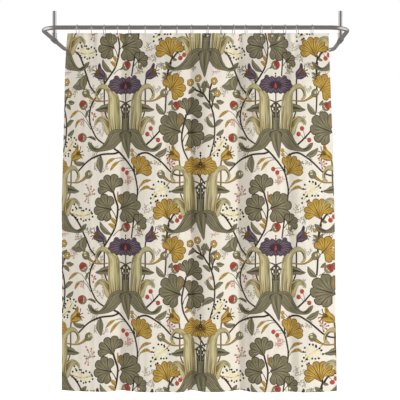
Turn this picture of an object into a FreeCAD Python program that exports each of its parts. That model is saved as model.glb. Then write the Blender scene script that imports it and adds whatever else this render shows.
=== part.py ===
"""Shower curtain on a ceiling-hung hoop rail.

Millimetres, +Z up, +X right along the front rail, +Y towards the wall side.
The origin is in the ceiling plane, midway between the two drop tubes.
The hoop is two U-shaped tubes joined in a tee at each end, each tee hangs on a drop tube,
and the cloth hangs from the front run on eighteen wire rings, each through its own eyelet.
"""
import FreeCAD
import Part
import math
import os

V = FreeCAD.Vector

# Rail tube
TUBE_RADIUS = 12.7
TUBE_WALL = 1.5
HOOP_HALF_LENGTH = 925.0        # hoop centre to the axis of each side run
HOOP_HALF_DEPTH = 400.0         # hoop centre to the axis of the front and the rear run
CORNER_RADIUS = 120.0           # tube axis round each corner
RAIL_DROP = 188.0               # ceiling down to the rail's axis
HOOP_JOINT_GAP = 0.6            # between the two U tubes, inside a tee

# Cast tee
FIT_CLEARANCE = 0.15            # radial, tube in tee and plug in tube
TEE_WALL = 3.2
TEE_SLEEVE_LENGTH = 70.0
TEE_SOCKET_HEIGHT = 46.0        # above the rail's axis
COLLAR_WIDTH = 6.0
COLLAR_STEP = 1.6
SADDLE_FLOOR = 1.6              # metal left between the rail's bore and the drop tube's end

# Set screws
SCREW_RADIUS = 2.5
SCREW_LENGTH = 5.0
SCREW_HOLE_CLEARANCE = 0.1
SCREW_TIP_GAP = 0.1
SCREW_KEY_ACROSS = 2.5          # across the flats of the key's hexagon
SCREW_KEY_DEPTH = 2.0
SCREW_FROM_TEE = 21.0           # along the sleeve, from the tee's centre
SCREW_UP_SOCKET = 32.0          # above the rail's axis

# Ceiling plug
PLUG_LIP = 3.0
PLUG_DEPTH = 34.0
PLUG_THREAD_RADIUS = 3.4        # tapping size of an M8 hanger bolt
PLUG_THREAD_DEPTH = 25.0

# Rings
RING_INNER_RADIUS = 29.0
RING_WIRE_RADIUS = 2.0
RING_RUNNING_GAP = 0.3          # between the rail's top and the ring that hangs on it
RING_SPLIT = 1.6                # open gap between the ring's two tips
RING_TIP_RADIUS = 2.8
RING_SPLIT_ANGLE = 52.0         # degrees up from level, on the wall side
END_RING_MARGIN = 105.5         # from each end of the straight front run to the end ring
RING_PITCHES = (
    83.0, 79.0, 78.0, 75.0, 93.0, 96.0, 94.0, 92.0, 95.0,
    81.0, 75.0, 75.0, 92.0, 66.0, 76.0, 76.0, 89.0,
)                               # each gap's share of the run from the first ring to the last
RING_TURNS = (
    -6.0, 9.0, -2.0, 8.0, -5.0, 5.0, -5.0, 9.0, -9.0,
    10.0, -6.0, 12.0, -13.0, 9.0, -13.0, 10.0, -16.0, 6.0,
)                               # degrees that each ring stands turned about the vertical

# Cloth
CLOTH_FULLNESS = 1.1672         # cut width over hung width: 1829 mm cut for this hoop
CLOTH_HEIGHT = 2134.0
CLOTH_THICKNESS = 1.0
CLOTH_SIDE_MARGIN = 84.0        # beyond each end ring as hung
PLEAT_CREST = 10.0              # straight stretch at the top of each fold
HEADER_HEIGHT = 48.0
BOTTOM_HEM_HEIGHT = 30.0
SIDE_HEM_WIDTH = 16.0

# Eyelets
EYELET_HOLE_RADIUS = 3.8
EYELET_BARREL_WALL = 0.5
EYELET_RIM = 2.2                # flange, out from the hole
EYELET_FLAT_MARGIN = 8.0        # of flat cloth round the flange
EYELET_FLANGE_THICKNESS = 0.6
EYELET_BELOW_EDGE = 15.3        # its centre below the cloth's top edge
EYELET_GAP = 0.3                # between the eyelet and the cloth, and the wire in the hole

# Worked out from the sizes above
RAIL_Z = -RAIL_DROP
RAIL_Y = -HOOP_HALF_DEPTH
TEE_RADIUS = TUBE_RADIUS + FIT_CLEARANCE + TEE_WALL
TUBE_BORE = TUBE_RADIUS - TUBE_WALL
RING_RADIUS = RING_INNER_RADIUS + RING_WIRE_RADIUS
RING_Z = RAIL_Z + TUBE_RADIUS + RING_RUNNING_GAP - RING_INNER_RADIUS
WIRE_TOP_Z = RING_Z - RING_INNER_RADIUS
EYELET_Z = WIRE_TOP_Z + EYELET_GAP - EYELET_HOLE_RADIUS
CLOTH_TOP = EYELET_Z + EYELET_BELOW_EDGE
CLOTH_BOTTOM = CLOTH_TOP - CLOTH_HEIGHT
CLOTH_HOLE_RADIUS = EYELET_HOLE_RADIUS + EYELET_BARREL_WALL + EYELET_GAP
EYELET_FLANGE_RADIUS = EYELET_HOLE_RADIUS + EYELET_RIM
PLEAT_FLAT = 2 * (EYELET_FLANGE_RADIUS + EYELET_FLAT_MARGIN)


def ring_places():
    """Each ring's place along the front run, with the end rings evenly about the middle."""
    last = HOOP_HALF_LENGTH - CORNER_RADIUS - END_RING_MARGIN
    scale = 2 * last / sum(RING_PITCHES)
    return [-last + scale * sum(RING_PITCHES[:n]) for n in range(len(RING_PITCHES) + 1)]


def rod(radius, length, base, direction):
    """A solid cylinder from a point along a direction."""
    return Part.makeCylinder(radius, length, base, direction)


def pipe(radius, path):
    """A round bar along a smooth wire that starts along Y."""
    start = path.OrderedVertexes[0].Point
    circle = Part.Circle(start, V(0, 1, 0), radius)
    face = Part.Face(Part.Wire([circle.toShape()]))
    return path.makePipe(face)


def half_hoop(side):
    """One U tube: side -1 is the front half and +1 the rear half."""
    x = HOOP_HALF_LENGTH
    y = side * HOOP_HALF_DEPTH
    near = side * HOOP_JOINT_GAP / 2
    inset = CORNER_RADIUS * (1 - math.sqrt(0.5))
    turn = y - side * CORNER_RADIUS
    left_mid = V(-x + inset, y - side * inset, RAIL_Z)
    right_mid = V(x - inset, y - side * inset, RAIL_Z)
    left_top = V(-x, turn, RAIL_Z)
    left_end = V(-x + CORNER_RADIUS, y, RAIL_Z)
    right_end = V(x - CORNER_RADIUS, y, RAIL_Z)
    right_top = V(x, turn, RAIL_Z)
    edges = [
        Part.LineSegment(V(-x, near, RAIL_Z), left_top).toShape(),
        Part.Arc(left_top, left_mid, left_end).toShape(),
        Part.LineSegment(left_end, right_end).toShape(),
        Part.Arc(right_end, right_mid, right_top).toShape(),
        Part.LineSegment(right_top, V(x, near, RAIL_Z)).toShape(),
    ]
    path = Part.Wire(edges)
    return pipe(TUBE_RADIUS, path).cut(pipe(TUBE_BORE, path))


def tee_screws(side):
    """Where each set screw of one tee has its tip, and the way it points out of the tee."""
    x = side * HOOP_HALF_LENGTH
    reach = TUBE_RADIUS + SCREW_TIP_GAP
    under = [
        (V(x, along, RAIL_Z - reach), V(0, 0, -1))
        for along in (-SCREW_FROM_TEE, SCREW_FROM_TEE)
    ]
    behind = (V(x, reach, RAIL_Z + SCREW_UP_SOCKET), V(0, 1, 0))
    return under + [behind]


def tee(side):
    """The cast fitting that joins the two U tubes and takes the drop tube."""
    x = side * HOOP_HALF_LENGTH
    half = TEE_SLEEVE_LENGTH / 2
    along = V(0, 1, 0)
    up = V(0, 0, 1)
    body = rod(TEE_RADIUS, TEE_SLEEVE_LENGTH, V(x, -half, RAIL_Z), along)
    body = body.fuse(rod(TEE_RADIUS, TEE_SOCKET_HEIGHT, V(x, 0, RAIL_Z), up))
    for start in (-half, half - COLLAR_WIDTH):
        body = body.fuse(rod(TEE_RADIUS + COLLAR_STEP, COLLAR_WIDTH, V(x, start, RAIL_Z), along))
    top = V(x, 0, RAIL_Z + TEE_SOCKET_HEIGHT - COLLAR_WIDTH)
    body = body.fuse(rod(TEE_RADIUS + COLLAR_STEP, COLLAR_WIDTH, top, up))
    bore = TUBE_RADIUS + FIT_CLEARANCE
    body = body.cut(rod(bore, TEE_SLEEVE_LENGTH, V(x, -half, RAIL_Z), along))
    seat = bore + SADDLE_FLOOR
    body = body.cut(rod(bore, TEE_SOCKET_HEIGHT, V(x, 0, RAIL_Z + seat), up))
    hole = SCREW_RADIUS + SCREW_HOLE_CLEARANCE
    for tip, outward in tee_screws(side):
        body = body.cut(rod(hole, TEE_RADIUS, tip, outward))
    return body.removeSplitter()


def hexagon_bar(across, depth, base, direction):
    """A hexagonal bar, for the key's socket in a set screw."""
    radius = across / math.sqrt(3)
    points = [
        V(radius * math.cos(math.radians(60 * n)), radius * math.sin(math.radians(60 * n)), 0)
        for n in range(6)
    ]
    bar = Part.Face(Part.makePolygon(points + points[:1])).extrude(V(0, 0, depth))
    bar.Placement = FreeCAD.Placement(base, FreeCAD.Rotation(V(0, 0, 1), direction))
    return bar


def set_screw(tip, outward):
    """A grub screw with a key socket in its outer end."""
    body = rod(SCREW_RADIUS, SCREW_LENGTH, tip, outward)
    face = tip + outward * (SCREW_LENGTH - SCREW_KEY_DEPTH)
    return body.cut(hexagon_bar(SCREW_KEY_ACROSS, SCREW_KEY_DEPTH, face, outward))


def set_screws():
    """All six set screws, three in each tee."""
    screws = []
    for side in (-1, 1):
        for tip, outward in tee_screws(side):
            screws.append(set_screw(tip, outward))
    return Part.makeCompound(screws)


def drop_tube(side):
    """The upright tube from the tee's socket to the plug's lip."""
    x = side * HOOP_HALF_LENGTH
    foot = RAIL_Z + TUBE_RADIUS + FIT_CLEARANCE + SADDLE_FLOOR
    length = -PLUG_LIP - foot
    base = V(x, 0, foot)
    up = V(0, 0, 1)
    return rod(TUBE_RADIUS, length, base, up).cut(rod(TUBE_BORE, length, base, up))


def ceiling_plug(side):
    """The plug in the top of a drop tube, tapped for the hanger bolt."""
    x = side * HOOP_HALF_LENGTH
    down = V(0, 0, -1)
    lip = rod(TUBE_RADIUS, PLUG_LIP, V(x, 0, 0), down)
    stem = rod(TUBE_BORE - FIT_CLEARANCE, PLUG_DEPTH, V(x, 0, 0), down)
    return lip.fuse(stem).cut(rod(PLUG_THREAD_RADIUS, PLUG_THREAD_DEPTH, V(x, 0, 0), down))


def ring(place, turned):
    """A split wire ring with ball tips, hung on the front run."""
    open_angle = math.degrees((RING_SPLIT + 2 * RING_TIP_RADIUS) / RING_RADIUS)
    sweep = 360.0 - open_angle
    wire = Part.makeTorus(RING_RADIUS, RING_WIRE_RADIUS, V(0, 0, 0), V(0, 0, 1), -180, 180, sweep)
    for end in (0.0, sweep):
        at = V(math.cos(math.radians(end)), math.sin(math.radians(end)), 0) * RING_RADIUS
        wire = wire.fuse(Part.makeSphere(RING_TIP_RADIUS, at))
    # the ring is made flat, then stood up so that its split faces the wall side
    wire.rotate(V(0, 0, 0), V(0, 0, 1), open_angle / 2 + RING_SPLIT_ANGLE)
    wire.rotate(V(0, 0, 0), V(1, 0, 0), 90)
    wire.rotate(V(0, 0, 0), V(0, 0, 1), 90 + turned)
    wire.translate(V(place, RAIL_Y, RING_Z))
    return wire


def eyelet(place):
    """A pressed eyelet: a barrel through both cloth layers and a flange on each side."""
    along = V(0, 1, 0)
    front = RAIL_Y - CLOTH_THICKNESS - EYELET_GAP
    back = RAIL_Y + CLOTH_THICKNESS + EYELET_GAP
    first = V(place, front - EYELET_FLANGE_THICKNESS, EYELET_Z)
    length = back - front + 2 * EYELET_FLANGE_THICKNESS
    body = rod(EYELET_HOLE_RADIUS + EYELET_BARREL_WALL, length, first, along)
    body = body.fuse(rod(EYELET_FLANGE_RADIUS, EYELET_FLANGE_THICKNESS, first, along))
    last = V(place, back, EYELET_Z)
    body = body.fuse(rod(EYELET_FLANGE_RADIUS, EYELET_FLANGE_THICKNESS, last, along))
    return body.cut(rod(EYELET_HOLE_RADIUS, length, first, along)).removeSplitter()


def pleat_path():
    """The cloth's line in plan: flat at each ring, a fold between rings, folds alternately each way."""
    places = ring_places()
    left = places[0] - CLOTH_SIDE_MARGIN
    right = places[-1] + CLOTH_SIDE_MARGIN
    slopes = [(b - a - PLEAT_FLAT - PLEAT_CREST) / 2 for a, b in zip(places, places[1:])]
    extra = (CLOTH_FULLNESS - 1) * (right - left)
    stretch = 1 + extra / (2 * sum(slopes))     # a slope's length over its run
    rise = math.sqrt(stretch ** 2 - 1)
    path = [(left, 0.0)]
    for n, run in enumerate(slopes):
        start = places[n] + PLEAT_FLAT / 2
        height = run * rise * (-1) ** n
        path.append((start, 0.0))
        path.append((start + run, height))
        path.append((start + run + PLEAT_CREST, height))
        path.append((start + 2 * run + PLEAT_CREST, 0.0))
    path.append((right, 0.0))
    return path


def cloth_layer(path, front, bottom, top):
    """A pleated sheet whose front face is at y = front from the line, one cloth thickness deep."""
    back = front + CLOTH_THICKNESS
    outline = [V(x, RAIL_Y + y + front, bottom) for x, y in path]
    outline += [V(x, RAIL_Y + y + back, bottom) for x, y in reversed(path)]
    face = Part.Face(Part.makePolygon(outline + outline[:1]))
    return face.extrude(V(0, 0, top - bottom))


def eyelet_holes(sheet):
    """The sheet with a round hole for each eyelet's barrel."""
    for place in ring_places():
        start = V(place, RAIL_Y - 2 * CLOTH_THICKNESS, EYELET_Z)
        sheet = sheet.cut(rod(CLOTH_HOLE_RADIUS, 4 * CLOTH_THICKNESS, start, V(0, 1, 0)))
    return sheet


def curtain_panel():
    """The main cloth, full width and height."""
    return eyelet_holes(cloth_layer(pleat_path(), -CLOTH_THICKNESS, CLOTH_BOTTOM, CLOTH_TOP))


def header_band():
    """The turned-over top band behind the panel, which the eyelets go through."""
    return eyelet_holes(cloth_layer(pleat_path(), 0.0, CLOTH_TOP - HEADER_HEIGHT, CLOTH_TOP))


def bottom_hem():
    """The turned-up hem behind the panel's lower edge."""
    return cloth_layer(pleat_path(), 0.0, CLOTH_BOTTOM, CLOTH_BOTTOM + BOTTOM_HEM_HEIGHT)


def side_hem(side):
    """The turned-over side edge behind the panel, between the top band and the bottom hem."""
    path = pleat_path()
    edge = path[0][0] if side < 0 else path[-1][0]
    strip = sorted([(edge, 0.0), (edge - side * SIDE_HEM_WIDTH, 0.0)])
    return cloth_layer(strip, 0.0, CLOTH_BOTTOM + BOTTOM_HEM_HEIGHT, CLOTH_TOP - HEADER_HEIGHT)


def write(name, shape):
    """Writes one node's STEP file."""
    shape.exportStep("parts/" + name + ".step")


def main():
    """Makes every piece and writes it."""
    os.makedirs("parts", exist_ok=True)
    write("front_hoop_tube", half_hoop(-1))
    write("rear_hoop_tube", half_hoop(1))
    for side, word in ((-1, "left"), (1, "right")):
        write(word + "_tee", tee(side))
        write(word + "_drop_tube", drop_tube(side))
        write(word + "_ceiling_plug", ceiling_plug(side))
        write(word + "_side_hem", side_hem(side))
    write("set_screws", set_screws())
    write("curtain_panel", curtain_panel())
    write("header_band", header_band())
    write("bottom_hem", bottom_hem())
    for number, (place, turned) in enumerate(zip(ring_places(), RING_TURNS), 1):
        write("ring_%02d" % number, ring(place, turned))
        write("eyelet_%02d" % number, eyelet(place))


main()
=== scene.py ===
"""Printed shower curtain on a ceiling-hung hoop rail: the cloth and the finishes."""

import math

import bpy
import numpy as np
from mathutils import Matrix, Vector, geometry


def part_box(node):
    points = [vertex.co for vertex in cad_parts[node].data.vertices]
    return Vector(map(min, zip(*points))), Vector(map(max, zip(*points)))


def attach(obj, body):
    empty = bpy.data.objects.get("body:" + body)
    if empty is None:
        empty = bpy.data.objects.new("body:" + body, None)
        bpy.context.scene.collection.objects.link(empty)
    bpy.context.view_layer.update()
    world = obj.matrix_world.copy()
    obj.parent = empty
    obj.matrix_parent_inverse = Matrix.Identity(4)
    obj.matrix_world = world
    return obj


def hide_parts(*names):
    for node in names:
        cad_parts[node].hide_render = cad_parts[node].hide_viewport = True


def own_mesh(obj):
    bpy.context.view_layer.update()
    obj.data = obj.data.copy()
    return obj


bl_info = {
    "name": "Shower curtain and rail",
    "version": (1, 0, 0),
    "blender": (4, 5, 0),
    "location": "3D View > Sidebar > Curtain",
    "description": "Makes a printed shower curtain and finishes its chrome rail",
    "category": "Object",
}

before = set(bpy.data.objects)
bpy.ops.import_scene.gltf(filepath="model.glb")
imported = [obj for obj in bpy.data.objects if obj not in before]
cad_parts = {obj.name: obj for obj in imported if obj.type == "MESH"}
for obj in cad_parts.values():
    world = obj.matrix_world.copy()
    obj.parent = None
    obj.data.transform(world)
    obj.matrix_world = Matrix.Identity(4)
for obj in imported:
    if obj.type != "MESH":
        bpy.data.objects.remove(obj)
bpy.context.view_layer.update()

RING_COUNT = 18
RINGS = ["ring_%02d" % n for n in range(1, RING_COUNT + 1)]
EYELETS = ["eyelet_%02d" % n for n in range(1, RING_COUNT + 1)]


def middle(node):
    """The middle of a node's box."""
    low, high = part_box(node)
    return [(a + b) / 2 for a, b in zip(low, high)]


EYELET_X = [middle(name)[0] for name in EYELETS]
EYELET_Z = middle(EYELETS[0])[2]
RAIL_Y = middle(EYELETS[0])[1]
PANEL_LOW, PANEL_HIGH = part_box("curtain_panel")
CLOTH_TOP = PANEL_HIGH[2]
EYELET_DEPTH = CLOTH_TOP - EYELET_Z
FIRST_X = EYELET_X[0]
CM = 0.01


# ---------------------------------------------------------------- settings

def length(name, description, default, **more):
    """A size in metres."""
    return bpy.props.FloatProperty(
        name=name, description=description, default=default,
        unit="LENGTH", subtype="DISTANCE", precision=4, **more)


def colour(name, description, default):
    """A colour as it looks on the screen."""
    return bpy.props.FloatVectorProperty(
        name=name, description=description, default=default,
        size=3, min=0.0, max=1.0, subtype="COLOR_GAMMA")


class ClothSizes(bpy.types.PropertyGroup):
    """Sizes of the curtain's cloth, laid flat and as it hangs."""
    flat_width: length("Flat width", "Width the cloth was cut to", 1.829)
    flat_height: length("Flat height", "Height the cloth was cut to",
                        round(PANEL_HIGH[2] - PANEL_LOW[2], 4))
    left_margin: length("Left margin", "Flat cloth left of the first eyelet", 0.069)
    right_margin: length("Right margin", "Flat cloth right of the last eyelet", 0.099)
    hole_radius: length("Hole radius", "Hole that each eyelet is pressed into", 0.0046)
    header: length("Header", "Depth of the double band along the top", 0.048)
    bottom_hem: length("Bottom hem", "Depth of the turned hem along the bottom", 0.030)
    side_hem: length("Side hem", "Width of the turned hem down each side", 0.016)
    cloth_gap: length("Layer gap", "How far a turned layer lies behind the face", 0.0009)
    fold_depth: bpy.props.FloatProperty(
        name="Fold depth", description="Depth of the hanging folds, as a share",
        default=1.0, min=0.0, max=1.5)
    grid: length("Mesh spacing", "Spacing of the cloth's plain mesh points", 0.013)


class PrintColours(bpy.types.PropertyGroup):
    """Dyes of the printed pattern."""
    cream: colour("Ground", "Unprinted ground", (0.912, 0.885, 0.832))
    olive: colour("Olive", "Fan leaves and calyx", (0.470, 0.442, 0.345))
    olive_light: colour("Light olive", "Lit side of a leaf", (0.560, 0.540, 0.420))
    olive_dark: colour("Dark olive", "Veins and folds of a leaf", (0.300, 0.280, 0.210))
    gold: colour("Gold", "Gold petals and leaves", (0.678, 0.545, 0.235))
    gold_light: colour("Light gold", "Lit gold", (0.775, 0.660, 0.345))
    gold_dark: colour("Brown gold", "Shade on gold", (0.420, 0.300, 0.115))
    strap: colour("Straw", "Curling straps", (0.700, 0.655, 0.480))
    strap_light: colour("Light straw", "Lit streaks of a strap", (0.795, 0.755, 0.580))
    strap_dark: colour("Dark straw", "Shade of a strap", (0.500, 0.450, 0.300))
    plum: colour("Plum", "Plum petals", (0.345, 0.285, 0.335))
    plum_light: colour("Light plum", "Lit plum", (0.450, 0.385, 0.430))
    plum_dark: colour("Dark plum", "Shade on plum", (0.245, 0.195, 0.220))
    red: colour("Red", "Berries and buds", (0.715, 0.285, 0.240))
    rust: colour("Rust", "Petals of a half-open bud", (0.625, 0.280, 0.230))
    red_dark: colour("Dark red", "Edge of a berry", (0.400, 0.150, 0.125))
    navy: colour("Navy", "Small dots", (0.165, 0.145, 0.200))
    line: colour("Brown line", "Outlines and vines", (0.240, 0.195, 0.155))
    mustard: colour("Mustard", "Fine stalks", (0.660, 0.545, 0.260))
    pale: colour("Pale yellow", "Fine heads of flower", (0.880, 0.840, 0.650))
    moss: colour("Moss", "Darker fine sprigs", (0.505, 0.480, 0.405))
    rosy: colour("Rosy", "Reddish fine sprigs", (0.735, 0.560, 0.500))
    faint: colour("Faint brown", "Ghosted sprigs", (0.610, 0.560, 0.490))


class FinishSettings(bpy.types.PropertyGroup):
    """Finish of the metal parts."""
    chrome: colour("Chrome", "Colour of the plated tube", (0.870, 0.855, 0.845))
    wire: colour("Ring wire", "Colour of the bright wire", (0.970, 0.970, 0.970))
    enamel: colour("Eyelet enamel", "Colour of the painted eyelets", (0.905, 0.880, 0.820))
    steel: colour("Steel", "Colour of the set screws", (0.640, 0.640, 0.650))
    chrome_roughness: bpy.props.FloatProperty(
        name="Chrome roughness", description="Blur of the chrome's reflections",
        default=0.14, min=0.0, max=1.0)


class StageSettings(bpy.types.PropertyGroup):
    """Camera and floor."""
    camera_side: length("Camera to the side", "Camera right of the rail's middle", 0.198)
    camera_back: length("Camera distance", "Camera in front of the rail's middle", 5.145)
    camera_height: length("Camera height", "Camera against the ceiling", -1.163)
    lens: bpy.props.FloatProperty(
        name="Lens", description="Focal length in millimetres", default=71.6)
    floor_gap: length("Floor gap", "Floor below the cloth", 0.075)


# ---------------------------------------------------------------- flat drawing
# The drawing's own measure is centimetres: across to the right, down from the top.

def spline(points, steps=4, closed=False):
    """A smooth line through the points."""
    points = np.asarray(points, float)
    if closed:
        run = np.vstack([points[-1], points, points[0], points[1]])
    else:
        run = np.vstack([2 * points[0] - points[1], points, 2 * points[-1] - points[-2]])
    share = (np.arange(steps) / steps)[:, None]
    out = []
    for a, b, c, d in zip(run, run[1:], run[2:], run[3:]):
        out.append(0.5 * (2 * b + (c - a) * share + (2 * a - 5 * b + 4 * c - d) * share ** 2
                          + (3 * b - a - 3 * c + d) * share ** 3))
    if not closed:
        out.append(points[-1:])
    return np.vstack(out)


def across(track):
    """Unit vectors square to a line, one at each of its points."""
    along = np.gradient(track, axis=0)
    along /= np.maximum(np.linalg.norm(along, axis=1), 1e-9)[:, None]
    return np.stack([-along[:, 1], along[:, 0]], axis=1)


def ribbon(points, widths, steps=4):
    """The outline of a brush stroke along a smooth line."""
    track = spline(points, steps)
    half = np.interp(np.linspace(0, 1, len(track)), np.linspace(0, 1, len(widths)), widths) / 2
    side = across(track) * half[:, None]
    return np.vstack([track + side, (track - side)[::-1]])


def grown(outline, by):
    """An outline moved outwards."""
    nxt, last = np.roll(outline, -1, axis=0), np.roll(outline, 1, axis=0)
    area = np.sum(outline[:, 0] * nxt[:, 1] - nxt[:, 0] * outline[:, 1])
    along = nxt - last
    along /= np.maximum(np.linalg.norm(along, axis=1), 1e-9)[:, None]
    out = np.stack([along[:, 1], -along[:, 0]], axis=1)
    return outline + out * by * (1 if area > 0 else -1)


def disc(at, radius, count=9, squash=1.0):
    """A round dot."""
    turn = np.arange(count) * 2 * math.pi / count
    return np.array(at) + radius * np.stack([np.cos(turn), squash * np.sin(turn)], axis=1)


def turned(points, angle, at=(0, 0), size=1.0):
    """Points turned about their start, then scaled and set down at a place."""
    points = np.asarray(points, float) * size
    c, s = math.cos(math.radians(angle)), math.sin(math.radians(angle))
    return points @ np.array([[c, s], [-s, c]]) + np.array(at)


def mirrored(points, about=0.0):
    """The same points on the other side of an upright line."""
    points = np.array(points, float)
    points[:, 0] = 2 * about - points[:, 0]
    return points


class Drawing:
    """Coloured areas laid one over another."""

    def __init__(self):
        self.areas = []

    def fill(self, outline, tint):
        self.areas.append((np.asarray(outline, float), tint))

    def edged(self, outline, tint, edge="line", by=0.2):
        self.fill(grown(np.asarray(outline, float), by), edge)
        self.fill(outline, tint)

    def stroke(self, points, width, tint="line", steps=4):
        widths = width if isinstance(width, (list, tuple)) else [width, width]
        self.fill(ribbon(points, widths, steps), tint)

    # small motifs

    def vine(self, points, width=1.2):
        self.stroke(points, [width, width * 0.92, width * 0.8], "line", 4)

    def leaf(self, base, tip, width, bow=0.12, look="olive", stalk=None):
        base, tip = np.array(base, float), np.array(tip, float)
        run = tip - base
        side = np.array([-run[1], run[0]]) * bow
        line = [base, base + run * 0.33 + side, base + run * 0.68 + side, tip]
        shape = np.array([0.05, 0.62, 0.95, 1.0, 0.82, 0.5, 0.04]) * width
        self.fill(ribbon(line, shape + 0.42, 3), "olive_dark" if look != "gold" else "gold_dark")
        self.fill(ribbon(line, shape, 3), look)
        light = look + "_light"
        off = np.array([-run[1], run[0]]) / np.linalg.norm(run) * width * 0.24
        self.stroke([line[0] + run * 0.12 + off * 0.6, line[1] + off, line[2] + off * 0.8,
                     line[3] - run * 0.12], [0.1, width * 0.26, width * 0.2, 0.08], light, 2)
        self.stroke([base, line[1], line[2], tip - run * 0.1], [0.34, 0.28, 0.1], look + "_dark", 2)
        if stalk is not None:
            self.stroke([stalk, (np.array(stalk) + base) / 2, base], [0.4, 0.34], "line", 2)

    def fan(self, base, angle, size, spread=150.0, lobes=6, look="olive", stalk=None, flat=0.3):
        """A fan-shaped leaf with a scalloped rim; the angle is counted from the right, upwards."""
        half = math.radians(spread / 2)
        share = np.linspace(0, 1, lobes * 6 + 1)
        swing = (share * 2 - 1) * half
        scallop = np.abs(np.sin(math.pi * lobes * share)) ** 0.55
        uneven = np.random.default_rng(int(size * 10) + int(angle)).uniform(0.90, 1.06, lobes + 1)
        uneven = np.interp(share * lobes, np.arange(lobes + 1), uneven)
        reach = size * (1 - flat * (share * 2 - 1) ** 2) * (0.84 + 0.16 * scallop) * uneven
        rim = np.stack([np.cos(swing) * reach, np.sin(swing) * reach], axis=1)
        throat = 0.30 if spread < 170 else 0.16
        inner = np.array([[math.cos(half * 0.55), math.sin(half * 0.55)]]) * size * throat
        other = inner * [1, -1]
        outline = np.vstack([[[0, 0]], other, rim, inner])
        place = dict(angle=-angle, at=base)
        edge = "line" if look != "gold" else "gold_dark"
        self.fill(turned(grown(outline, 0.5), **place), edge)
        self.fill(turned(outline, **place), look)

        def ray(turn, stops, lean=0.5):
            """Points along a rib that leans towards the leaf's axis near its foot."""
            long = size * (1 - flat * (turn / half) ** 2)
            ways = [turn * (1 - lean * (1 - stop)) for stop in stops]
            return turned([[math.cos(w) * long * stop, math.sin(w) * long * stop]
                           for w, stop in zip(ways, stops)], **place)

        wide = size / 10
        for n in range(lobes):
            mid = ((n + 0.5) / lobes * 2 - 1) * half
            for slip, broad, far in ((-0.5, 0.55, 0.84), (0.4, 0.4, 0.78)):
                self.fill(ribbon(ray(mid + slip * half / lobes, (0.36, 0.6, far)),
                                 [0.06, broad * wide, 0.08], 2), look + "_light")
            self.fill(ribbon(ray(mid, (0.5, 0.7, 0.88)), [0.08, 0.3, 0.1], 2), look + "_dark")
        for n in range(1, lobes):
            turn = (n / lobes * 2 - 1) * half
            if n == lobes // 2:
                self.fill(ribbon(ray(turn, (0.0, 0.34, 0.6, 0.84)), [0.75, 0.55, 0.16], 2), edge)
            else:
                self.fill(ribbon(ray(turn, (0.16, 0.5, 0.9)), [0.14, 0.3, 0.42], 2),
                          edge if n % 2 else look + "_dark")
        if stalk is not None:
            self.stroke(list(stalk) + [base], [0.55, 0.5, 0.45], "line", 3)

    def berry(self, at, radius=1.25, stalk=None, look="red"):
        edge = "red_dark" if look == "red" else "gold_dark"
        if stalk is not None:
            middle_of = (np.array(at) + np.array(stalk)) / 2 + np.array([0.3, -0.5])
            self.stroke([stalk, middle_of, at], 0.3, "line", 2)
        self.fill(disc(at, radius + 0.16, 11), edge)
        self.fill(disc(at, radius, 11), look)
        if look == "gold":
            self.fill(disc((at[0] - radius * 0.3, at[1] - radius * 0.3), radius * 0.34, 6), "gold_light")

    def dots(self, places, radius=0.7, tint="navy"):
        for place in places:
            self.fill(disc(place, radius, 6), tint)

    def umbel(self, root, heads, tint="pale", dot="navy", radius=0.72):
        """Fine stalks from a root, a dot on each."""
        root = np.array(root, float)
        for n, head in enumerate(heads):
            head = np.array(head, float)
            bend = (root + head) / 2 + np.array([-(head - root)[1], (head - root)[0]]) * 0.12
            self.stroke([root, bend, head], [0.36, 0.28], tint, 2)
            fork = root + (head - root) * 0.7
            self.fill(disc(fork, 0.55, 5), tint)
            if n % 2 and dot == "navy":
                beside = turned([head - fork], 70 if n % 4 == 1 else -70, fork, 1.0)[0]
                beside = fork + (beside - fork) * 1.25
                self.stroke([fork, beside], [0.3, 0.24], tint, 1)
                self.dots([beside], radius * 0.85, dot)
        self.dots(heads, radius, dot)

    def catkin(self, points, width=1.45):
        track = spline(points, 3)
        self.stroke(points, [0.6, width + 0.4, width + 0.4, 0.5], "gold_dark", 4)
        self.stroke(points, [0.3, width, width, 0.2], "gold", 4)
        for n, place in enumerate(track[1:-1]):
            shift = np.array([0.0, width * (0.22 if n % 2 else -0.2)])
            self.fill(disc(place + shift, width * 0.2, 5), "gold_dark" if n % 3 else "gold_light")

    def daisy(self, at, radius=2.1):
        turn = np.linspace(0, 2 * math.pi, 25)[:-1]
        reach = radius * (0.84 + 0.16 * np.abs(np.cos(2.5 * turn)))
        petals = np.array(at) + np.stack([np.cos(turn) * reach, np.sin(turn) * reach], axis=1)
        self.edged(petals, "gold", "gold_dark", 0.34)
        for n in range(5):
            way = 2 * math.pi * n / 5
            place = (at[0] + math.cos(way) * radius * 0.62, at[1] + math.sin(way) * radius * 0.62)
            self.fill(disc(place, radius * 0.22, 5), "gold_light")
        self.fill(disc(at, radius * 0.46, 8), "gold_dark")
        self.fill(disc(at, radius * 0.3, 7), "cream")

    def bud(self, at, angle, radius=2.3):
        """A round green bud with three sepals and a cream slit."""
        body = turned(disc((0, 0), radius, 14, 0.92), -angle, at)
        self.edged(body, "olive", "line", 0.22)
        slit = [[-0.1, 0.18], [0.75, 0.5], [0.85, -0.1], [0.15, -0.3]]
        self.fill(turned(spline(slit, 3, True), -angle, at, radius), "pale")
        for turn in (-38, 42):
            sepal = [[-0.95, 0.0], [-0.2, 0.35], [0.7, 0.28], [1.25, 0.05]]
            self.stroke(turned(turned(sepal, turn), -angle, at, radius),
                        [0.3, radius * 0.34, radius * 0.26, 0.1], "olive_light", 3)
            self.stroke(turned(turned(sepal, turn * 1.25), -angle, at, radius),
                        [0.2, 0.3, 0.25, 0.1], "olive_dark", 3)

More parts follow.
